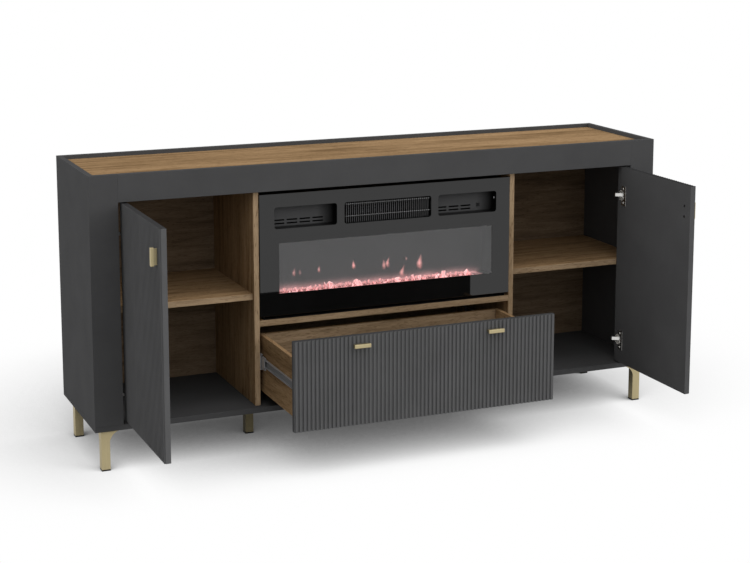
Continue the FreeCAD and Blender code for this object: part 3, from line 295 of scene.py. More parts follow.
def ribbed_board(node, painted_light_scale):
    """The same laminate with painted shade on its upper and lower faces and, on a door, a painted highlight
    on its free edge.
    """
    surface, colour = anthracite_surface("ribbed_" + node, painted_light_scale)
    # Painted shade darkens the upper and lower faces; on a door, painted light brightens the free edge.
    painted_edge_shade = surface.ramp(surface.facing("Z"), [(0.3, grey(1)), (0.9, grey(0.5))])
    colour = surface.mix(1.0, colour, painted_edge_shade, "MULTIPLY")
    if node.startswith("door"):
        free_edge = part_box(node)[0].y
        nearness = surface.between(surface.position()["Y"], free_edge + 2 * RIB_EDGE, free_edge + RIB_EDGE)
        painted_light_band = surface.ramp(nearness, [(0.0, grey(1)), (1.0, grey(FREE_EDGE_PAINTED_LIGHT))])
        colour = surface.mix(1.0, colour, painted_light_band, "MULTIPLY")
    surface.colour(colour)
    return surface.material


GRAIN_SCALE = {"x": (0.7, 9.0, 9.0), "y": (9.0, 0.7, 9.0), "z": (9.0, 9.0, 0.7)}
FRONT_EDGE_TINT = (1.0, 1.1, 1.28)


def oak(name, grain, tone=1.0, warmth=1.0, front_tint=grey(1)):
    """Oak print with streaks, bands and short dark pores along one axis, tinted where it faces front."""
    surface = Surface(name)
    place = surface.coordinates(GRAIN_SCALE[grain], spread=7.0)
    streaks = surface.noise(place, 5.0, 8.0, 0.65, 0.5)
    bands = surface.noise(place, 1.1, 3.0, 0.5, 1.2)
    fibres = surface.noise(place, 42.0, 3.0, 0.6)
    pores = surface.noise(place, 75.0, 2.0, 0.5)

    def brown(*channels):
        middle = sum(channels) / 3
        return tuple(tone * (middle + warmth * (channel - middle)) for channel in channels)

    wood = surface.ramp(streaks, [
        (0.30, brown(0.165, 0.102, 0.052)),
        (0.47, brown(0.300, 0.193, 0.101)),
        (0.60, brown(0.362, 0.238, 0.129)),
        (0.78, brown(0.262, 0.166, 0.086)),
    ])
    shade = surface.ramp(bands, [(0.35, (0.72, 0.70, 0.67)), (0.62, grey(1.08))])
    wood = surface.mix(0.75, wood, shade, "MULTIPLY")
    lines = surface.ramp(fibres, [(0.3, (0.70, 0.67, 0.63)), (0.7, grey(1.16))])
    wood = surface.mix(0.6, wood, lines, "MULTIPLY")
    dots = surface.ramp(pores, [(0.33, (0.45, 0.40, 0.36)), (0.40, grey(1))])
    wood = surface.mix(1.0, wood, dots, "MULTIPLY")
    tint = surface.ramp(surface.facing("Y"), [(0.6, grey(1)), (0.95, front_tint)])
    surface.colour(surface.mix(1.0, wood, tint, "MULTIPLY"))
    surface.roughness(streaks, 0.5, 0.66)
    surface.bump(fibres, 0.2, 0.0002)
    surface.set(Specular_IOR_Level=0.0)
    return surface.material


BRUSH_SCALE = {"x": (4, 400, 400), "y": (400, 4, 400), "z": (400, 400, 4)}

# How far a leg looks for the cabinet above it, and how dark it gets there
LEG_SHADE_REACH = 0.5
LEG_SHADE = [
    (0.2, grey(0.15)),
    (0.27, grey(0.5)),
    (0.31, grey(0.9)),
    (0.47, grey(1.0)),
]


def brushed_metal(name, colour, low, high, brushing, metallic=1.0, shaded=False):
    """Metal with fine brushing lines along one axis; shaded metal darkens deep under the cabinet."""
    surface = Surface(name)
    lines = surface.noise(surface.coordinates(BRUSH_SCALE[brushing], spread=2.0), 2.0, 3.0, 0.6)
    dark = tuple(channel * 0.86 for channel in colour)
    tint = surface.ramp(lines, [(0.3, dark), (0.7, colour)])
    if shaded:
        shade = surface.ramp(surface.openness(LEG_SHADE_REACH), LEG_SHADE)
        tint = surface.mix(1.0, tint, shade, "MULTIPLY")
    surface.colour(tint)
    surface.roughness(lines, low, high)
    surface.bump(lines, 0.12, 0.0001)
    surface.set(Metallic=metallic)
    return surface.material


def moulded(name, colour, low, high, grain=1400.0, specular=0.5):
    """Plastic, paint or ceramic with a fine even grain."""
    surface = Surface(name)
    speck = surface.noise(surface.coordinates(), grain, 2.0)
    dark = tuple(channel * 0.8 for channel in colour)
    surface.colour(surface.ramp(speck, [(0.3, dark), (0.7, colour)]))
    surface.roughness(speck, low, high)
    surface.bump(speck, 0.15, 0.0001)
    surface.set(Specular_IOR_Level=specular)
    return surface.material


def matt_paint(name, colour):
    """Matt black paint with a fine grain, and its colour socket."""
    surface = Surface(name)
    speck = surface.noise(surface.coordinates(), 1200.0, 2.0)
    dark = tuple(channel * 0.85 for channel in colour)
    surface.roughness(speck, 0.5, 0.65)
    surface.bump(speck, 0.15, 0.0001)
    surface.set(Specular_IOR_Level=0.05)
    return surface, surface.ramp(speck, [(0.3, dark), (0.7, colour)])


# How far the painted shade between the grille's fins looks for a neighbour
GRILLE_SHADE_REACH = 0.02


def grille_paint_and_shade():
    """Paint of the fins, with painted shade between them."""
    surface, paint = matt_paint("grille_paint_and_shade", (0.075, 0.075, 0.076))
    shade = surface.ramp(surface.openness(GRILLE_SHADE_REACH), [(0.5, grey(0.02)), (0.85, grey(1))])
    surface.colour(surface.mix(1.0, paint, shade, "MULTIPLY"))
    return surface.material


def tray_paint_and_shade():
    """Paint of the recessed trays, with painted shade toward the right-hand end and on the lower wall."""
    surface, paint = matt_paint("tray_paint_and_shade", (0.064, 0.064, 0.065))
    place = surface.node("ShaderNodeSeparateXYZ")
    surface.link(surface.node("ShaderNodeTexCoord").outputs["Generated"], place.inputs[0])
    # Painted shade: darker toward the right-hand end and on the lower wall of each tray.
    end = surface.ramp(place.outputs["X"], [
        (0.72, grey(1)),
        (0.9, grey(0.3)),
        (0.965, grey(0.03)),
    ])
    wall = surface.ramp(place.outputs["Z"], [(0.09, grey(0.25)), (0.14, grey(1))])
    paint = surface.mix(1.0, paint, end, "MULTIPLY")
    surface.colour(surface.mix(1.0, paint, wall, "MULTIPLY"))
    return surface.material


def black_glass():
    """Glass painted black behind."""
    surface = Surface("black_glass")
    smear = surface.noise(surface.coordinates(), 6.0, 3.0)
    surface.colour(surface.ramp(smear, [(0.3, grey(0.003)), (0.7, grey(0.005))]))
    surface.roughness(smear, 0.015, 0.04)
    surface.set(IOR=1.52)
    return surface.material


def window_glass():
    """Smoked see-through part of the same pane."""
    surface = Surface("window_glass")
    smear = surface.noise(surface.coordinates(), 6.0, 3.0)
    surface.colour(surface.ramp(smear, [(0.3, (0.70, 0.70, 0.71)), (0.7, (0.76, 0.76, 0.77))]))
    surface.roughness(smear, 0.0, 0.004)
    surface.set(IOR=1.58, Transmission_Weight=1.0)
    return surface.material


def glowing(name, low, high, strength, scale):
    """Painted glow of a lit stone, or the light of a lamp: its own light varies a little over it."""
    surface = Surface(name)
    cloud = surface.noise(surface.coordinates(), scale, 3.0)
    light = surface.ramp(cloud, [(0.3, low), (0.7, high)])
    surface.colour(light)
    surface.glow(light, strength)
    surface.set(Roughness=0.2)
    return surface.material


def ember_bed():
    """Dark tray sheet with a painted pink glow at the level where the stones lie."""
    surface = Surface("ember_bed")
    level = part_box("crystals")[0].z
    place = surface.position()
    # Painted light: the stones' glow on the tray, in a band at their level.
    height = surface.between(place["Z"], level - BED_PAINTED_GLOW_REACH, level + BED_PAINTED_GLOW_REACH)
    inside = surface.between(place["X"], BED_PAINTED_GLOW_ENDS[1], BED_PAINTED_GLOW_ENDS[0])
    cloud = surface.noise(surface.coordinates(), 90.0, 3.0)
    light = surface.ramp(cloud, [(0.3, (0.60, 0.24, 0.235)), (0.7, (0.90, 0.45, 0.44))])
    painted_light_band = surface.ramp(height, [
        (0.40, grey(0)),
        (0.48, grey(1)),
        (0.60, grey(1)),
        (0.80, grey(0)),
    ])
    surface.colour(surface.ramp(cloud, [(0.3, grey(0.008)), (0.7, grey(0.011))]))
    part = surface.ramp(inside, [(0.0, grey(0)), (1.0, grey(1))])
    light = surface.mix(1.0, light, part, "MULTIPLY")
    surface.glow(surface.mix(1.0, light, painted_light_band, "MULTIPLY"), 1.0)
    surface.set(Roughness=0.6, Specular_IOR_Level=0.1)
    return surface.material


def smoked_screen():
    """Dark screen with a painted pink glow near the stones that fades upward."""
    surface = Surface("smoked_screen")
    place = surface.position()
    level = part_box("crystals")[0].z
    rise = surface.between(place["Z"], level - SCREEN_GLOW_START * SCREEN_GLOW_HEIGHT, level + SCREEN_GLOW_HEIGHT)
    fade = surface.between(surface.size_of(place["X"]), SCREEN_GLOW_ENDS[1], SCREEN_GLOW_ENDS[0])
    screen_mottle = surface.noise(surface.coordinates((1, 1, 0.3)), 22.0, 3.0)
    # Painted light: the stones' glow on the screen.
    glow = surface.ramp(rise, [
        (0.0, grey(0.0)),
        (SCREEN_GLOW_START, (0.72, 0.32, 0.31)),
        (0.2, (0.50, 0.23, 0.225)),
        (0.43, (0.22, 0.110, 0.108)),
        (0.64, (0.09, 0.047, 0.046)),
        (0.87, (0.025, 0.014, 0.014)),
        (1.0, grey(0.0)),
    ])
    middle = surface.ramp(fade, [(0.0, grey(0)), (1.0, grey(1))])
    glow = surface.mix(1.0, glow, middle, "MULTIPLY")
    painted_glow_patches = surface.ramp(screen_mottle, [(0.36, grey(0.55)), (0.64, grey(1))])
    glow = surface.mix(1.0, glow, painted_glow_patches, "MULTIPLY")
    surface.colour(surface.ramp(screen_mottle, [(0.3, (0.004, 0.004, 0.005)), (0.7, (0.007, 0.007, 0.008))]))
    surface.glow(glow, 1.0)
    surface.set(Roughness=0.5, Specular_IOR_Level=0.2)
    return surface.material


def flame_light():
    """Thin flame of painted light: bright in the middle, clear toward its edges, tip and foot."""
    surface = Surface("flame_light")
    halves = surface.node("ShaderNodeSeparateXYZ")
    surface.link(surface.node("ShaderNodeTexCoord").outputs["UV"], halves.inputs[0])
    warm = surface.ramp(halves.outputs["Y"], [
        (0.0, (0.70, 0.20, 0.19)),
        (0.45, (1.0, 0.50, 0.46)),
        (1.0, (0.75, 0.26, 0.24)),
    ])
    along = surface.ramp(halves.outputs["Y"], [
        (0.0, grey(0.1)),
        (0.4, grey(1)),
        (1.0, grey(0.1)),
    ])
    across = surface.ramp(halves.outputs["X"], [(0.0, grey(0)), (0.5, grey(1)), (1.0, grey(0))])
    strength = surface.node("ShaderNodeAttribute", attribute_name="strength").outputs["Color"]
    clearness = surface.mix(1.0, surface.mix(1.0, along, across, "MULTIPLY"), strength, "MULTIPLY")
    surface.colour(warm)
    surface.glow(warm, 0.9)
    surface.link(clearness, surface.shader.inputs["Alpha"])
    surface.set(Specular_IOR_Level=0.0)
    return surface.material


OAK_GRAIN = {
    "divider_left": "z",
    "divider_right": "z",
    "drawer_side_left": "y",
    "drawer_side_right": "y",
}
OAKS = {grain: oak("oak_" + grain, grain, front_tint=FRONT_EDGE_TINT) for grain in "xyz"}
BRASS = (0.42, 0.355, 0.21)
SLOTS = {
    "anthracite_board": anthracite_surface("anthracite_board", 1.0)[0].material,
    # The sheet oak is at about half tone: painted shade for the dim backs of the compartments.
    "oak_sheet": oak("oak_x_sheet_painted_shade", "x", tone=0.52, warmth=0.75),
    "brushed_brass": brushed_metal("brushed_brass", BRASS, 0.46, 0.6, "z", shaded=True),
    "black_plastic": moulded("black_plastic", (0.012, 0.012, 0.0125), 0.4, 0.55, specular=0.1),
    "nickel_steel": brushed_metal("nickel_steel", (0.66, 0.65, 0.63), 0.22, 0.34, "y"),
    "zinc_steel": brushed_metal("zinc_steel", (0.4, 0.4, 0.41), 0.35, 0.5, "y", metallic=0.5),
    "dark_sheet": moulded("dark_sheet", (0.009, 0.009, 0.0095), 0.5, 0.65, 900.0, 0.1),
    "black_glass": black_glass(),
    "smoked_screen": smoked_screen(),
    # The crystals' glow is painted light, standing for the light from the lamp strip under them.
    "crystal": glowing("crystal", (0.70, 0.26, 0.26), (0.98, 0.46, 0.45), 1.15, 110.0),
    "lamp_strip": glowing("lamp_strip", (0.9, 0.45, 0.40), (1.0, 0.60, 0.55), 0.02, 60.0),
    "circuit_board": moulded("circuit_board", (0.03, 0.16, 0.06), 0.3, 0.45, 300.0),
    # The heater ceramic is dark grey: painted shade for the gaps behind the grille's fins.
    "heater_ceramic": moulded("heater_ceramic", (0.10, 0.095, 0.09), 0.6, 0.8, 500.0, 0.3),
    "rotor_aluminium": brushed_metal("rotor_aluminium", (0.55, 0.55, 0.56), 0.35, 0.5, "x"),
    "mirror_steel": brushed_metal("mirror_steel", (0.75, 0.75, 0.76), 0.06, 0.14, "x"),
}
# Painted highlights on the crystals' edges, a dimmer painted glow on some of their faces, and painted glow
# on the gravel.
CRYSTAL_EDGE_HIGHLIGHT = glowing("crystal_edge_highlight", (0.95, 0.42, 0.41), (1.0, 0.76, 0.74), 1.4, 120.0)
CRYSTAL_DEEP = glowing("crystal_deep", (0.50, 0.16, 0.165), (0.75, 0.29, 0.29), 1.0, 110.0)
GRAVEL_GLOW = glowing("gravel_glow", (0.60, 0.26, 0.255), (0.85, 0.42, 0.41), 0.9, 90.0)
FLAME_LIGHT = flame_light()
TRAY_PAINT_AND_SHADE = tray_paint_and_shade()
DARK_STEEL = brushed_metal("dark_steel", (0.045, 0.045, 0.046), 0.3, 0.45, "y")
WELD = moulded("weld", (0.2, 0.2, 0.202), 0.4, 0.55)
LENS = glowing("lens", (0.3, 0.3, 0.31), (0.45, 0.45, 0.47), 0.25, 400.0)
WINDOW = window_glass()
# The doors and the drawer front are lit copies of the board: painted light makes them 1.2, 1.0 and 1.5
# times as bright.
RIBBED = {
    "door_left": ribbed_board("door_left", 1.2),
    "door_right": ribbed_board("door_right", 1.0),
    "drawer_front": ribbed_board("drawer_front", 1.5),
}
OWN_MATERIALS = {
    **RIBBED,
    "drawer_handles": brushed_metal("brushed_brass_lying", BRASS, 0.4, 0.55, "x"),
    "heater_grille": grille_paint_and_shade(),
    "vent_tray": TRAY_PAINT_AND_SHADE,
    "control_tray": TRAY_PAINT_AND_SHADE,
    "ember_tray": ember_bed(),
}


def material_for(node, slot):
    """The material of a node: oak with its own grain, the node's own, or that of its slot."""
    if slot == "oak_board":
        return OAKS[OAK_GRAIN.get(node, "x")]
    if node in OWN_MATERIALS:
        return OWN_MATERIALS[node]
    return SLOTS[slot]


def dress_cad_nodes():
    """Give every node its material, and soften the edges of the boards, the brass and the hinge cups."""
    rounding = {"anthracite_board": BOARD_EDGE, "oak_board": BOARD_EDGE, "brushed_brass": METAL_EDGE}
    for entry in frame["record"]["subparts"]:
        node, slot = entry["node"], entry["material_slot"]
        piece = NODES[node]
        for place in piece.material_slots:
            place.material = material_for(node, slot)
        if node in RIBBED:
            soften_edges(piece, RIB_EDGE)
        elif node.startswith("hinge_cups"):
            soften_edges(piece, METAL_EDGE, segments=1, clamp=False)
        elif slot in rounding:
            soften_edges(piece, rounding[slot])


dress_cad_nodes()


# Front glass

def front_glass():
    """The black pane again, cut along the window so that the window has its own clear material."""
    shape = bmesh.new()
    shape.from_mesh(NODES["front_glass"].data)
    bmesh.ops.remove_doubles(shape, verts=shape.verts, dist=MERGE_DISTANCE)
    cuts = (
        (Vector((-WINDOW_HALF, 0, 0)), Vector((1, 0, 0))),
        (Vector((WINDOW_HALF, 0, 0)), Vector((1, 0, 0))),
        (Vector((0, 0, WINDOW_BOTTOM)), Vector((0, 0, 1))),
        (Vector((0, 0, WINDOW_TOP)), Vector((0, 0, 1))),
    )
    for point, normal in cuts:
        everything = shape.verts[:] + shape.edges[:] + shape.faces[:]
        bmesh.ops.bisect_plane(shape, geom=everything, plane_co=point, plane_no=normal)
    for face in shape.faces:
        middle = face.calc_center_median()
        inside = abs(middle.x) < WINDOW_HALF and WINDOW_BOTTOM < middle.z < WINDOW_TOP
        face.material_index = 1 if inside else 0
    mesh = bpy.data.meshes.new("front_pane")
    shape.to_mesh(mesh)
    shape.free()
    pane = new_object("front_pane", mesh, [SLOTS["black_glass"], WINDOW], "cabinet")
    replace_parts(pane, "front_glass")


front_glass()


# Crystals and flames

# Each kind of stone: how many, and the smallest and largest radius
STONE_KINDS = (
    (60, 0.0025, 0.004),
    (22, 0.005, 0.007),
    (13, 0.0105, 0.013),
)
GRAVEL = ((260, 0.0022, 0.0042),)
GRAVEL_BACK_GAP = 0.002
BED_END_GAP = 0.03
STONE_FLATNESS = 0.8
STONE_TALLNESS = 1.25
STONE_POINTS = 8
STONE_ROUNDNESS = 0.8
STONE_FLAT_ANGLE = 14.0
STONE_EDGE = 0.11
STONE_SEED = 7
GRAVEL_SEED = 11
DEEP_SHARE = 0.3


def stone(shape, chance, centre, size):
    """Add one cut stone to a mesh: the hull of a few random points with painted highlights on its narrow
    edges.
    """
    part = bmesh.new()
    for _ in range(STONE_POINTS):
        direction = Vector((chance.gauss(0, 1), chance.gauss(0, 1), chance.gauss(0, 1)))
        place = direction.normalized() * size * chance.uniform(STONE_ROUNDNESS, 1.0)
        place.y *= STONE_FLATNESS
        place.z *= STONE_TALLNESS
        part.verts.new(place)
    hull = bmesh.ops.convex_hull(part, input=part.verts)
    loose = [item for item in hull["geom_interior"] if isinstance(item, bmesh.types.BMVert)]
    bmesh.ops.delete(part, geom=loose, context="VERTS")
    flat = math.radians(STONE_FLAT_ANGLE)
    bmesh.ops.dissolve_limit(part, angle_limit=flat, verts=part.verts, edges=part.edges)
    bmesh.ops.bevel(
        part,
        geom=part.edges[:],
        offset=size * STONE_EDGE,
        segments=1,
        affect="EDGES",
        material=1,
        clamp_overlap=True,
    )
    for face in part.faces:
        if face.material_index == 0 and chance.random() < DEEP_SHARE:
            face.material_index = 2
    lowest = min(vert.co.z for vert in part.verts)
    bmesh.ops.translate(part, verts=part.verts, vec=centre - Vector((0, 0, lowest)))
    copy = bpy.data.meshes.new("stone")
    part.to_mesh(copy)
    part.free()
    shape.from_mesh(copy)
    bpy.data.meshes.remove(copy)


def stone_bed(name, kinds, paints, low, high, seed):
    """Stones of some kinds scattered between two corners, all lying on the lower one's level."""
    chance = random.Random(seed)
    shape = bmesh.new()
    for count, smallest, largest in kinds:
        for index in range(count):
            share = (index + chance.random()) / count
            size = chance.uniform(smallest, largest)
            x = low.x + size + share * (high.x - low.x - 2 * size)
            reach = size * STONE_FLATNESS
            y = chance.uniform(low.y + reach, high.y - reach)
            stone(shape, chance, Vector((x, y, low.z)), size)
    mesh = bpy.data.meshes.new(name)
    shape.to_mesh(mesh)
    shape.free()
    return new_object(name, mesh, paints, "cabinet")


def crystals():
    """A row of pink cut stones along the front of the ember tray, and gravel behind it up to the screen,
    both glowing with painted light.
    """
    low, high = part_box("crystals")
    high = Vector((high.x - BED_END_GAP, high.y, high.z))
    bright = [SLOTS["crystal"], CRYSTAL_EDGE_HIGHLIGHT, CRYSTAL_DEEP]
    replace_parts(stone_bed("crystal_bed", STONE_KINDS, bright, low, high, STONE_SEED), "crystals")
    start = Vector((low.x, high.y, low.z))
    end = Vector((high.x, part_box("flame_screen")[0].y - GRAVEL_BACK_GAP, low.z))
    dim = [GRAVEL_GLOW, GRAVEL_GLOW, SLOTS["crystal"]]
    stone_bed("gravel", GRAVEL, dim, start, end, GRAVEL_SEED)


# Each flame: place along the screen, height of its foot and of its tip above the stones' level, strength
FLAMES = (
    (-0.269, 0.034, 0.058, 0.5),
    (-0.252, 0.036, 0.054, 0.3),
    (-0.191, 0.039, 0.058, 0.7),
    (-0.081, 0.039, 0.064, 1.0),
    (0.018, 0.030, 0.058, 0.65),
    (0.033, 0.035, 0.063, 0.8),
    (0.082, 0.000, 0.033, 0.8),
    (0.091, 0.052, 0.064, 0.45),
    (0.139, 0.020, 0.060, 0.95),
)
FLAME_SLENDERNESS = 0.22
FLAME_FULLNESS = 0.6
FLAME_STRETCH = 1.3
FLAME_BEND = 0.12
FLAME_WAVE = 1.4
FLAME_STEPS = 12
FLAME_GAP = 0.0005
FLAME_SEED = 3


def flames():
    """Pink leaf-shaped flames of painted light that stand just in front of the screen they are thrown on.
    """
    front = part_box("flame_screen")[0].y - FLAME_GAP
    chance = random.Random(FLAME_SEED)
    shape = bmesh.new()
    uv = shape.loops.layers.uv.new("leaf")
    strength_layer = shape.faces.layers.float.new("strength")
    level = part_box("crystals")[0].z
    for x, foot, tip, strength in FLAMES:
        length = FLAME_STRETCH * (tip - foot)
        bend = chance.uniform(-FLAME_BEND, FLAME_BEND) * length
        rows = []
        for step in range(FLAME_STEPS + 1):
            share = step / FLAME_STEPS
            half = FLAME_SLENDERNESS * length * math.sin(math.pi * share ** FLAME_FULLNESS)
            middle = x + bend * math.sin(math.pi * FLAME_WAVE * share)
            z = level + foot + share * length
            corners = [Vector((middle + side * half, front, z)) for side in (-1, 1)]
            rows.append(([shape.verts.new(corner) for corner in corners], share))
        for (lower, start), (upper, end) in zip(rows, rows[1:]):
            face = shape.faces.new((lower[0], lower[1], upper[1], upper[0]))
            face[strength_layer] = strength
            for loop, place in zip(face.loops, ((0, start), (1, start), (1, end), (0, end))):
                loop[uv].uv = place
    mesh = bpy.data.meshes.new("flames")
    shape.to_mesh(mesh)
    shape.free()
    new_object("flames", mesh, [FLAME_LIGHT], "cabinet")


crystals()
flames()


# Grille welds and indicator

# Heights of the two cross wires, as shares of the grille's height
WIRE_SHARES = (0.36, 0.833)
FIN_PITCH = 0.0064
WELD_RADIUS = 0.0018
WELD_HALF = 0.0011
WELD_SIDES = 12

# Place of the lens on the tray's wall, as shares of the tray's height and depth, and its form
INDICATOR_HEIGHT = 0.616
INDICATOR_DEPTH = 0.45
INDICATOR_RADIUS = 0.0028
INDICATOR_FLATNESS = 0.35
INDICATOR_SIDES = 20
INDICATOR_RINGS = 12


def rod(shape, start, end, radius, sides):
    """Add a round bar between two points to a mesh."""
    axis = end - start
    turn = axis.to_track_quat("Z", "Y").to_matrix().to_4x4()
    place = Matrix.Translation((start + end) / 2) @ turn
    bmesh.ops.create_cone(
        shape,
        cap_ends=True,
        segments=sides,
        radius1=radius,
        radius2=radius,
        depth=axis.length,
        matrix=place,
    )


def grille_welds():
    """A bright bead on each cross wire of the grille wherever it passes a fin."""
    low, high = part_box("heater_grille")
    opening = high.x - low.x - 2 * TRAY_FLANGE
    fins = int((opening - FIN_PITCH) / FIN_PITCH)
    half = Vector((WELD_HALF, 0, 0))
    shape = bmesh.new()
    for share in WIRE_SHARES:
        z = low.z + share * (high.z - low.z)
        for index in range(fins):
            x = (low.x + high.x) / 2 + (index - (fins - 1) / 2) * FIN_PITCH
            weld = Vector((x, low.y, z))
            rod(shape, weld - half, weld + half, WELD_RADIUS, WELD_SIDES)
    mesh = bpy.data.meshes.new("grille_welds")
    shape.to_mesh(mesh)
    shape.free()
    new_object("grille_welds", mesh, [WELD], "cabinet")


def indicator():
    """A small round lens in the right-hand wall of the control tray."""
    low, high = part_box("control_tray")
    wall = high.x - TRAY_FLANGE
    y = low.y + INDICATOR_DEPTH * (high.y - low.y)
    z = low.z + INDICATOR_HEIGHT * (high.z - low.z)
    shape = bmesh.new()
    bmesh.ops.create_uvsphere(
        shape,
        u_segments=INDICATOR_SIDES,
        v_segments=INDICATOR_RINGS,
        radius=INDICATOR_RADIUS,
    )
    bmesh.ops.scale(shape, vec=(INDICATOR_FLATNESS, 1, 1), verts=shape.verts)
    bmesh.ops.translate(shape, vec=(wall, y, z), verts=shape.verts)
    for face in shape.faces:
        face.smooth = True
    mesh = bpy.data.meshes.new("indicator")
    shape.to_mesh(mesh)
    shape.free()
    new_object("indicator", mesh, [LENS], "cabinet")


grille_welds()
indicator()


# Screws

SCREW_SEGMENTS = 28
SCREW_HEAD_HEIGHT = 0.0024
SCREW_CROWN_RADIUS = 0.86
SCREW_CROWN_HEIGHT = 0.3
CROSS_ARM = 0.55
CROSS_HALF_WIDTH = 0.13
CROSS_DEPTH = 0.0014
CROSS_LARGEST_DEPTH = 0.7
FLANGE_SCREW_RADIUS = 0.0036
FLANGE_SCREW_HEIGHT = 0.0012
FLANGE_SCREW_SPACING = 0.045
FLANGE_SCREW_OFFSET = 0.0095
CUP_RADIUS = 0.0175
PLATE_SCREW_INSET = 0.006


def islands(node):
    """The corner places of each separate solid of a node."""
    shape = bmesh.new()
    shape.from_mesh(NODES[node].data)
    bmesh.ops.remove_doubles(shape, verts=shape.verts, dist=MERGE_DISTANCE)
    groups = []
    seen = set()
    for vert in shape.verts:
        if vert in seen:
            continue
        group = []
        waiting = [vert]
        seen.add(vert)
        while waiting:
            current = waiting.pop()
            group.append(current.co.copy())
            for edge in current.link_edges:
                other = edge.other_vert(current)
                if other not in seen:
                    seen.add(other)
                    waiting.append(other)
        groups.append(group)
    shape.free()
    return groups


def inward(door):
    """The direction in which the plain inner face of a door points."""
    mesh = NODES[door].data
    return max(mesh.polygons, key=lambda polygon: polygon.area).normal.copy()


def screw(shape, top, out, radius, head, shank=None, length=None):
    """Add a screw with a cross recess: its head and, where it is given, its shank."""
    side = out.cross(Vector((0, 0, 1))).normalized()
    up = out.cross(side)

    def corner(x, y, depth):
        return shape.verts.new(top + side * x + up * y - out * depth)

    def circle(size, depth):
        turns = [2 * math.pi * step / SCREW_SEGMENTS for step in range(SCREW_SEGMENTS)]
        return [corner(size * math.cos(turn), size * math.sin(turn), depth) for turn in turns]

    def wall(first, second):
        return [
            shape.faces.new((first[index - 1], first[index], second[index], second[index - 1]))
            for index in range(len(first))
        ]

    rings = [
        circle(radius * SCREW_CROWN_RADIUS, 0),
        circle(radius, head * SCREW_CROWN_HEIGHT),
        circle(radius, head),
    ]
    if shank:
        rings += [circle(shank, head), circle(shank, length)]
    for first, second in zip(rings, rings[1:]):
        wall(first, second)
    shape.faces.new(rings[-1])

    arm, half = radius * CROSS_ARM, radius * CROSS_HALF_WIDTH
    corners = []
    for _ in range(4):
        corners = [(-y, x) for x, y in corners] + [(arm, -half), (arm, half), (half, half)]
    depth = min(CROSS_DEPTH, head * CROSS_LARGEST_DEPTH)
    rim = [corner(x, y, 0) for x, y in corners]
    floor_edge = [corner(x, y, depth) for x, y in corners]
    wall(rim, floor_edge)
    shape.faces.new(floor_edge)
    loops = []
    for loop in (rings[0], rim):
        loops += [shape.edges.get((loop[index - 1], loop[index])) for index in range(len(loop))]
    bmesh.ops.triangle_fill(shape, edges=loops, use_beauty=True)


def screw_piece(name, body, finish, build):
    """One piece, in a material, for a group of screws that a function adds to its mesh."""
    shape = bmesh.new()
    build(shape)
    bmesh.ops.recalc_face_normals(shape, faces=shape.faces)
    mesh = bpy.data.meshes.new(name)
    shape.to_mesh(mesh)
    shape.free()
    return new_object(name, mesh, [finish], body)


def handle_screws(name, node, body, out):
    """The screws of a handle again, round and with a recess."""
    def build(shape):
        for group in islands(node):
            middle = sum(group, Vector()) / len(group)
            heights = [place.dot(out) for place in group]
            reach = [(place - middle - out * (place - middle).dot(out)).length for place in group]
            top = middle + out * (max(heights) - middle.dot(out))
            length = max(heights) - min(heights)
            screw(shape, top, out, max(reach), SCREW_HEAD_HEIGHT, min(reach), length)

    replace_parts(screw_piece(name, body, DARK_STEEL, build), node)


def flange_screws(side):
    """Two screws on the flange of each hinge cup."""
    out = inward("door_" + side)
    along = out.cross(Vector((0, 0, 1)))
    toward_middle = along if along.y < 0 else -along

    def build(shape):
        for group in islands("hinge_cups_" + side):
            across = [place.dot(toward_middle) for place in group]
            if max(across) - min(across) < CUP_RADIUS:
                continue
            z = (max(place.z for place in group) + min(place.z for place in group)) / 2
            face = max(place.dot(out) for place in group) + FLANGE_SCREW_HEIGHT
            spot = min(across) + CUP_RADIUS + FLANGE_SCREW_OFFSET
            for end in (-1, 1):
                top = toward_middle * spot + out * face
                top.z = z + end * FLANGE_SCREW_SPACING / 2
                screw(shape, top, out, FLANGE_SCREW_RADIUS, FLANGE_SCREW_HEIGHT)

    screw_piece("flange_screws_" + side, side + "_door", SLOTS["nickel_steel"], build)


def plate_screws():
    """Two screws on each hinge plate, above and below the arm."""
    def build(shape):
        for group in islands("hinge_plates"):
            sign = -1 if group[0].x > 0 else 1
            out = Vector((sign, 0, 0))
            face = max(place.x * sign for place in group) * sign + sign * FLANGE_SCREW_HEIGHT
            y = sum(place.y for place in group) / len(group)
            low = min(place.z for place in group) + PLATE_SCREW_INSET
            high = max(place.z for place in group) - PLATE_SCREW_INSET
            for z in (low, high):
                screw(shape, Vector((face, y, z)), out, FLANGE_SCREW_RADIUS, FLANGE_SCREW_HEIGHT)

    screw_piece("plate_screws", "cabinet", SLOTS["nickel_steel"], build)


for side in ("left", "right"):
    handle_screws("handle_screws_" + side, "door_screws_" + side, side + "_door", inward("door_" + side))
    flange_screws(side)
handle_screws("handle_screws_drawer", "drawer_screws", "drawer", Vector((0, 1, 0)))
plate_screws()


# Camera, stage and light

def camera():
    """The photo's camera, which stands to the left and looks a little down."""
    data = bpy.data.cameras.new("camera")
    data.sensor_width = SENSOR_WIDTH
    data.lens = FOCAL_LENGTH
    data.shift_y = CAMERA_SHIFT
    made = bpy.data.objects.new("camera", data)
    made.location = CAMERA_PLACE
    made.rotation_euler = (math.radians(90 - CAMERA_PITCH), 0, math.radians(-CAMERA_TURN))
    bpy.context.scene.collection.objects.link(made)
    bpy.context.scene.camera = made


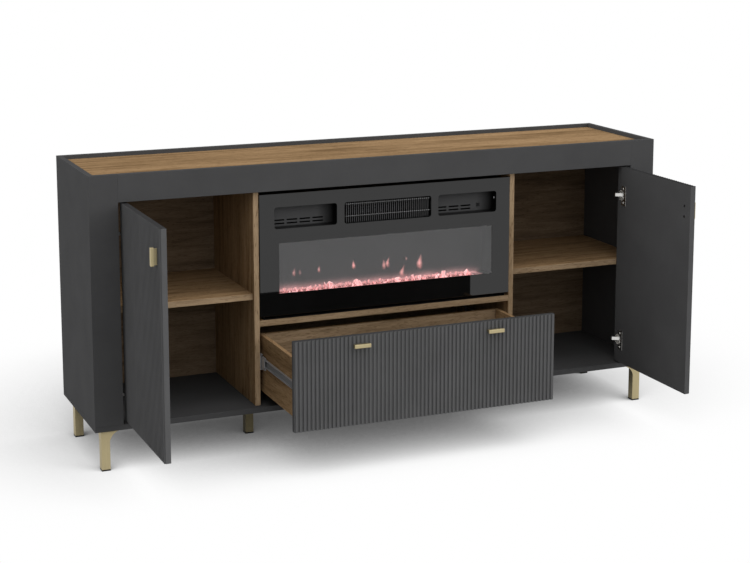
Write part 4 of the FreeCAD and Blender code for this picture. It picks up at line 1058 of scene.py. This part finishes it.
def seen_directly(tree):
    """A value that is 1 for rays from the camera, a mirror or a clear glass, and 0 for soft light."""
    path = tree.nodes.new("ShaderNodeLightPath")
    total = None
    for name in ("Is Camera Ray", "Is Glossy Ray", "Is Transmission Ray"):
        if total is None:
            total = path.outputs[name]
            continue
        larger = tree.nodes.new("ShaderNodeMath")
        larger.operation = "MAXIMUM"
        tree.links.new(total, larger.inputs[0])
        tree.links.new(path.outputs[name], larger.inputs[1])
        total = larger.outputs[0]
    return total


WORLD_LIGHT = 0.53
FLOOR_SHADE = 0.42
FLOOR_HALF = 30.0

# How far the floor's painted shadow looks for the cabinet, and how many degrees that search leans to the
# front
FLOOR_REACH = 1.2
FLOOR_LEAN = 50.0


def world():
    """White all round to look at, and a plain soft light."""
    made = bpy.data.worlds.new("studio")
    made.use_nodes = True
    tree = made.node_tree
    tree.nodes.clear()
    output = tree.nodes.new("ShaderNodeOutputWorld")
    soft = tree.nodes.new("ShaderNodeBackground")
    soft.inputs["Color"].default_value = (1, 1, 1, 1)
    soft.inputs["Strength"].default_value = WORLD_LIGHT
    white = tree.nodes.new("ShaderNodeBackground")
    white.inputs["Color"].default_value = (1, 1, 1, 1)
    choice = tree.nodes.new("ShaderNodeMixShader")
    tree.links.new(seen_directly(tree), choice.inputs["Fac"])
    tree.links.new(soft.outputs[0], choice.inputs[1])
    tree.links.new(white.outputs[0], choice.inputs[2])
    tree.links.new(choice.outputs[0], output.inputs["Surface"])
    bpy.context.scene.world = made


def floor():
    """A white floor that is grey for soft light, with a painted shadow where the cabinet stands close over
    it.
    """
    shape = bmesh.new()
    bmesh.ops.create_grid(shape, x_segments=1, y_segments=1, size=FLOOR_HALF)
    mesh = bpy.data.meshes.new("floor")
    shape.to_mesh(mesh)
    shape.free()
    made = bpy.data.objects.new("floor", mesh)
    bpy.context.scene.collection.objects.link(made)
    surface = Surface("floor")
    tree = surface.tree
    tree.nodes.remove(surface.shader)
    output = tree.nodes["Material Output"]
    dull = surface.node("ShaderNodeBsdfDiffuse")
    dull.inputs["Color"].default_value = (*grey(FLOOR_SHADE), 1)
    white = surface.node("ShaderNodeEmission")
    # Painted shadow: white where the floor is open, darker where the cabinet is close over it.
    shade = surface.ramp(surface.openness(FLOOR_REACH, FLOOR_LEAN), [
        (0.0, grey(0.02)),
        (0.28, grey(0.066)),
        (0.36, grey(0.13)),
        (0.45, grey(0.29)),
        (0.66, grey(0.63)),
        (0.80, grey(0.885)),
        (0.90, grey(0.99)),
        (0.95, grey(1.0)),
    ])
    surface.link(shade, white.inputs["Color"])
    choice = surface.node("ShaderNodeMixShader")
    surface.link(seen_directly(tree), choice.inputs["Fac"])
    surface.link(dull.outputs[0], choice.inputs[1])
    surface.link(white.outputs[0], choice.inputs[2])
    surface.link(choice.outputs[0], output.inputs["Surface"])
    mesh.materials.append(surface.material)


def sun(name, azimuth, elevation, spread, strength):
    """Even light from a compass direction, where 0 is the front and 90 the right-hand side."""
    data = bpy.data.lights.new(name, "SUN")
    data.energy = strength
    data.angle = math.radians(spread)
    lamp = bpy.data.objects.new(name, data)
    turn = Matrix.Rotation(math.radians(azimuth), 4, "Z")
    tilt = Matrix.Rotation(math.radians(90 - elevation), 4, "X")
    lamp.matrix_world = turn @ tilt
    bpy.context.scene.collection.objects.link(lamp)


camera()
world()
floor()
sun("left", azimuth=-90.0, elevation=15.0, spread=40.0, strength=1.15)
sun("right", azimuth=60.0, elevation=15.0, spread=40.0, strength=0.95)
sun("front", azimuth=8.0, elevation=40.0, spread=80.0, strength=1.08)
sun("top", azimuth=0.0, elevation=88.0, spread=40.0, strength=0.65)

bpy.context.scene.view_settings.view_transform = "Standard"
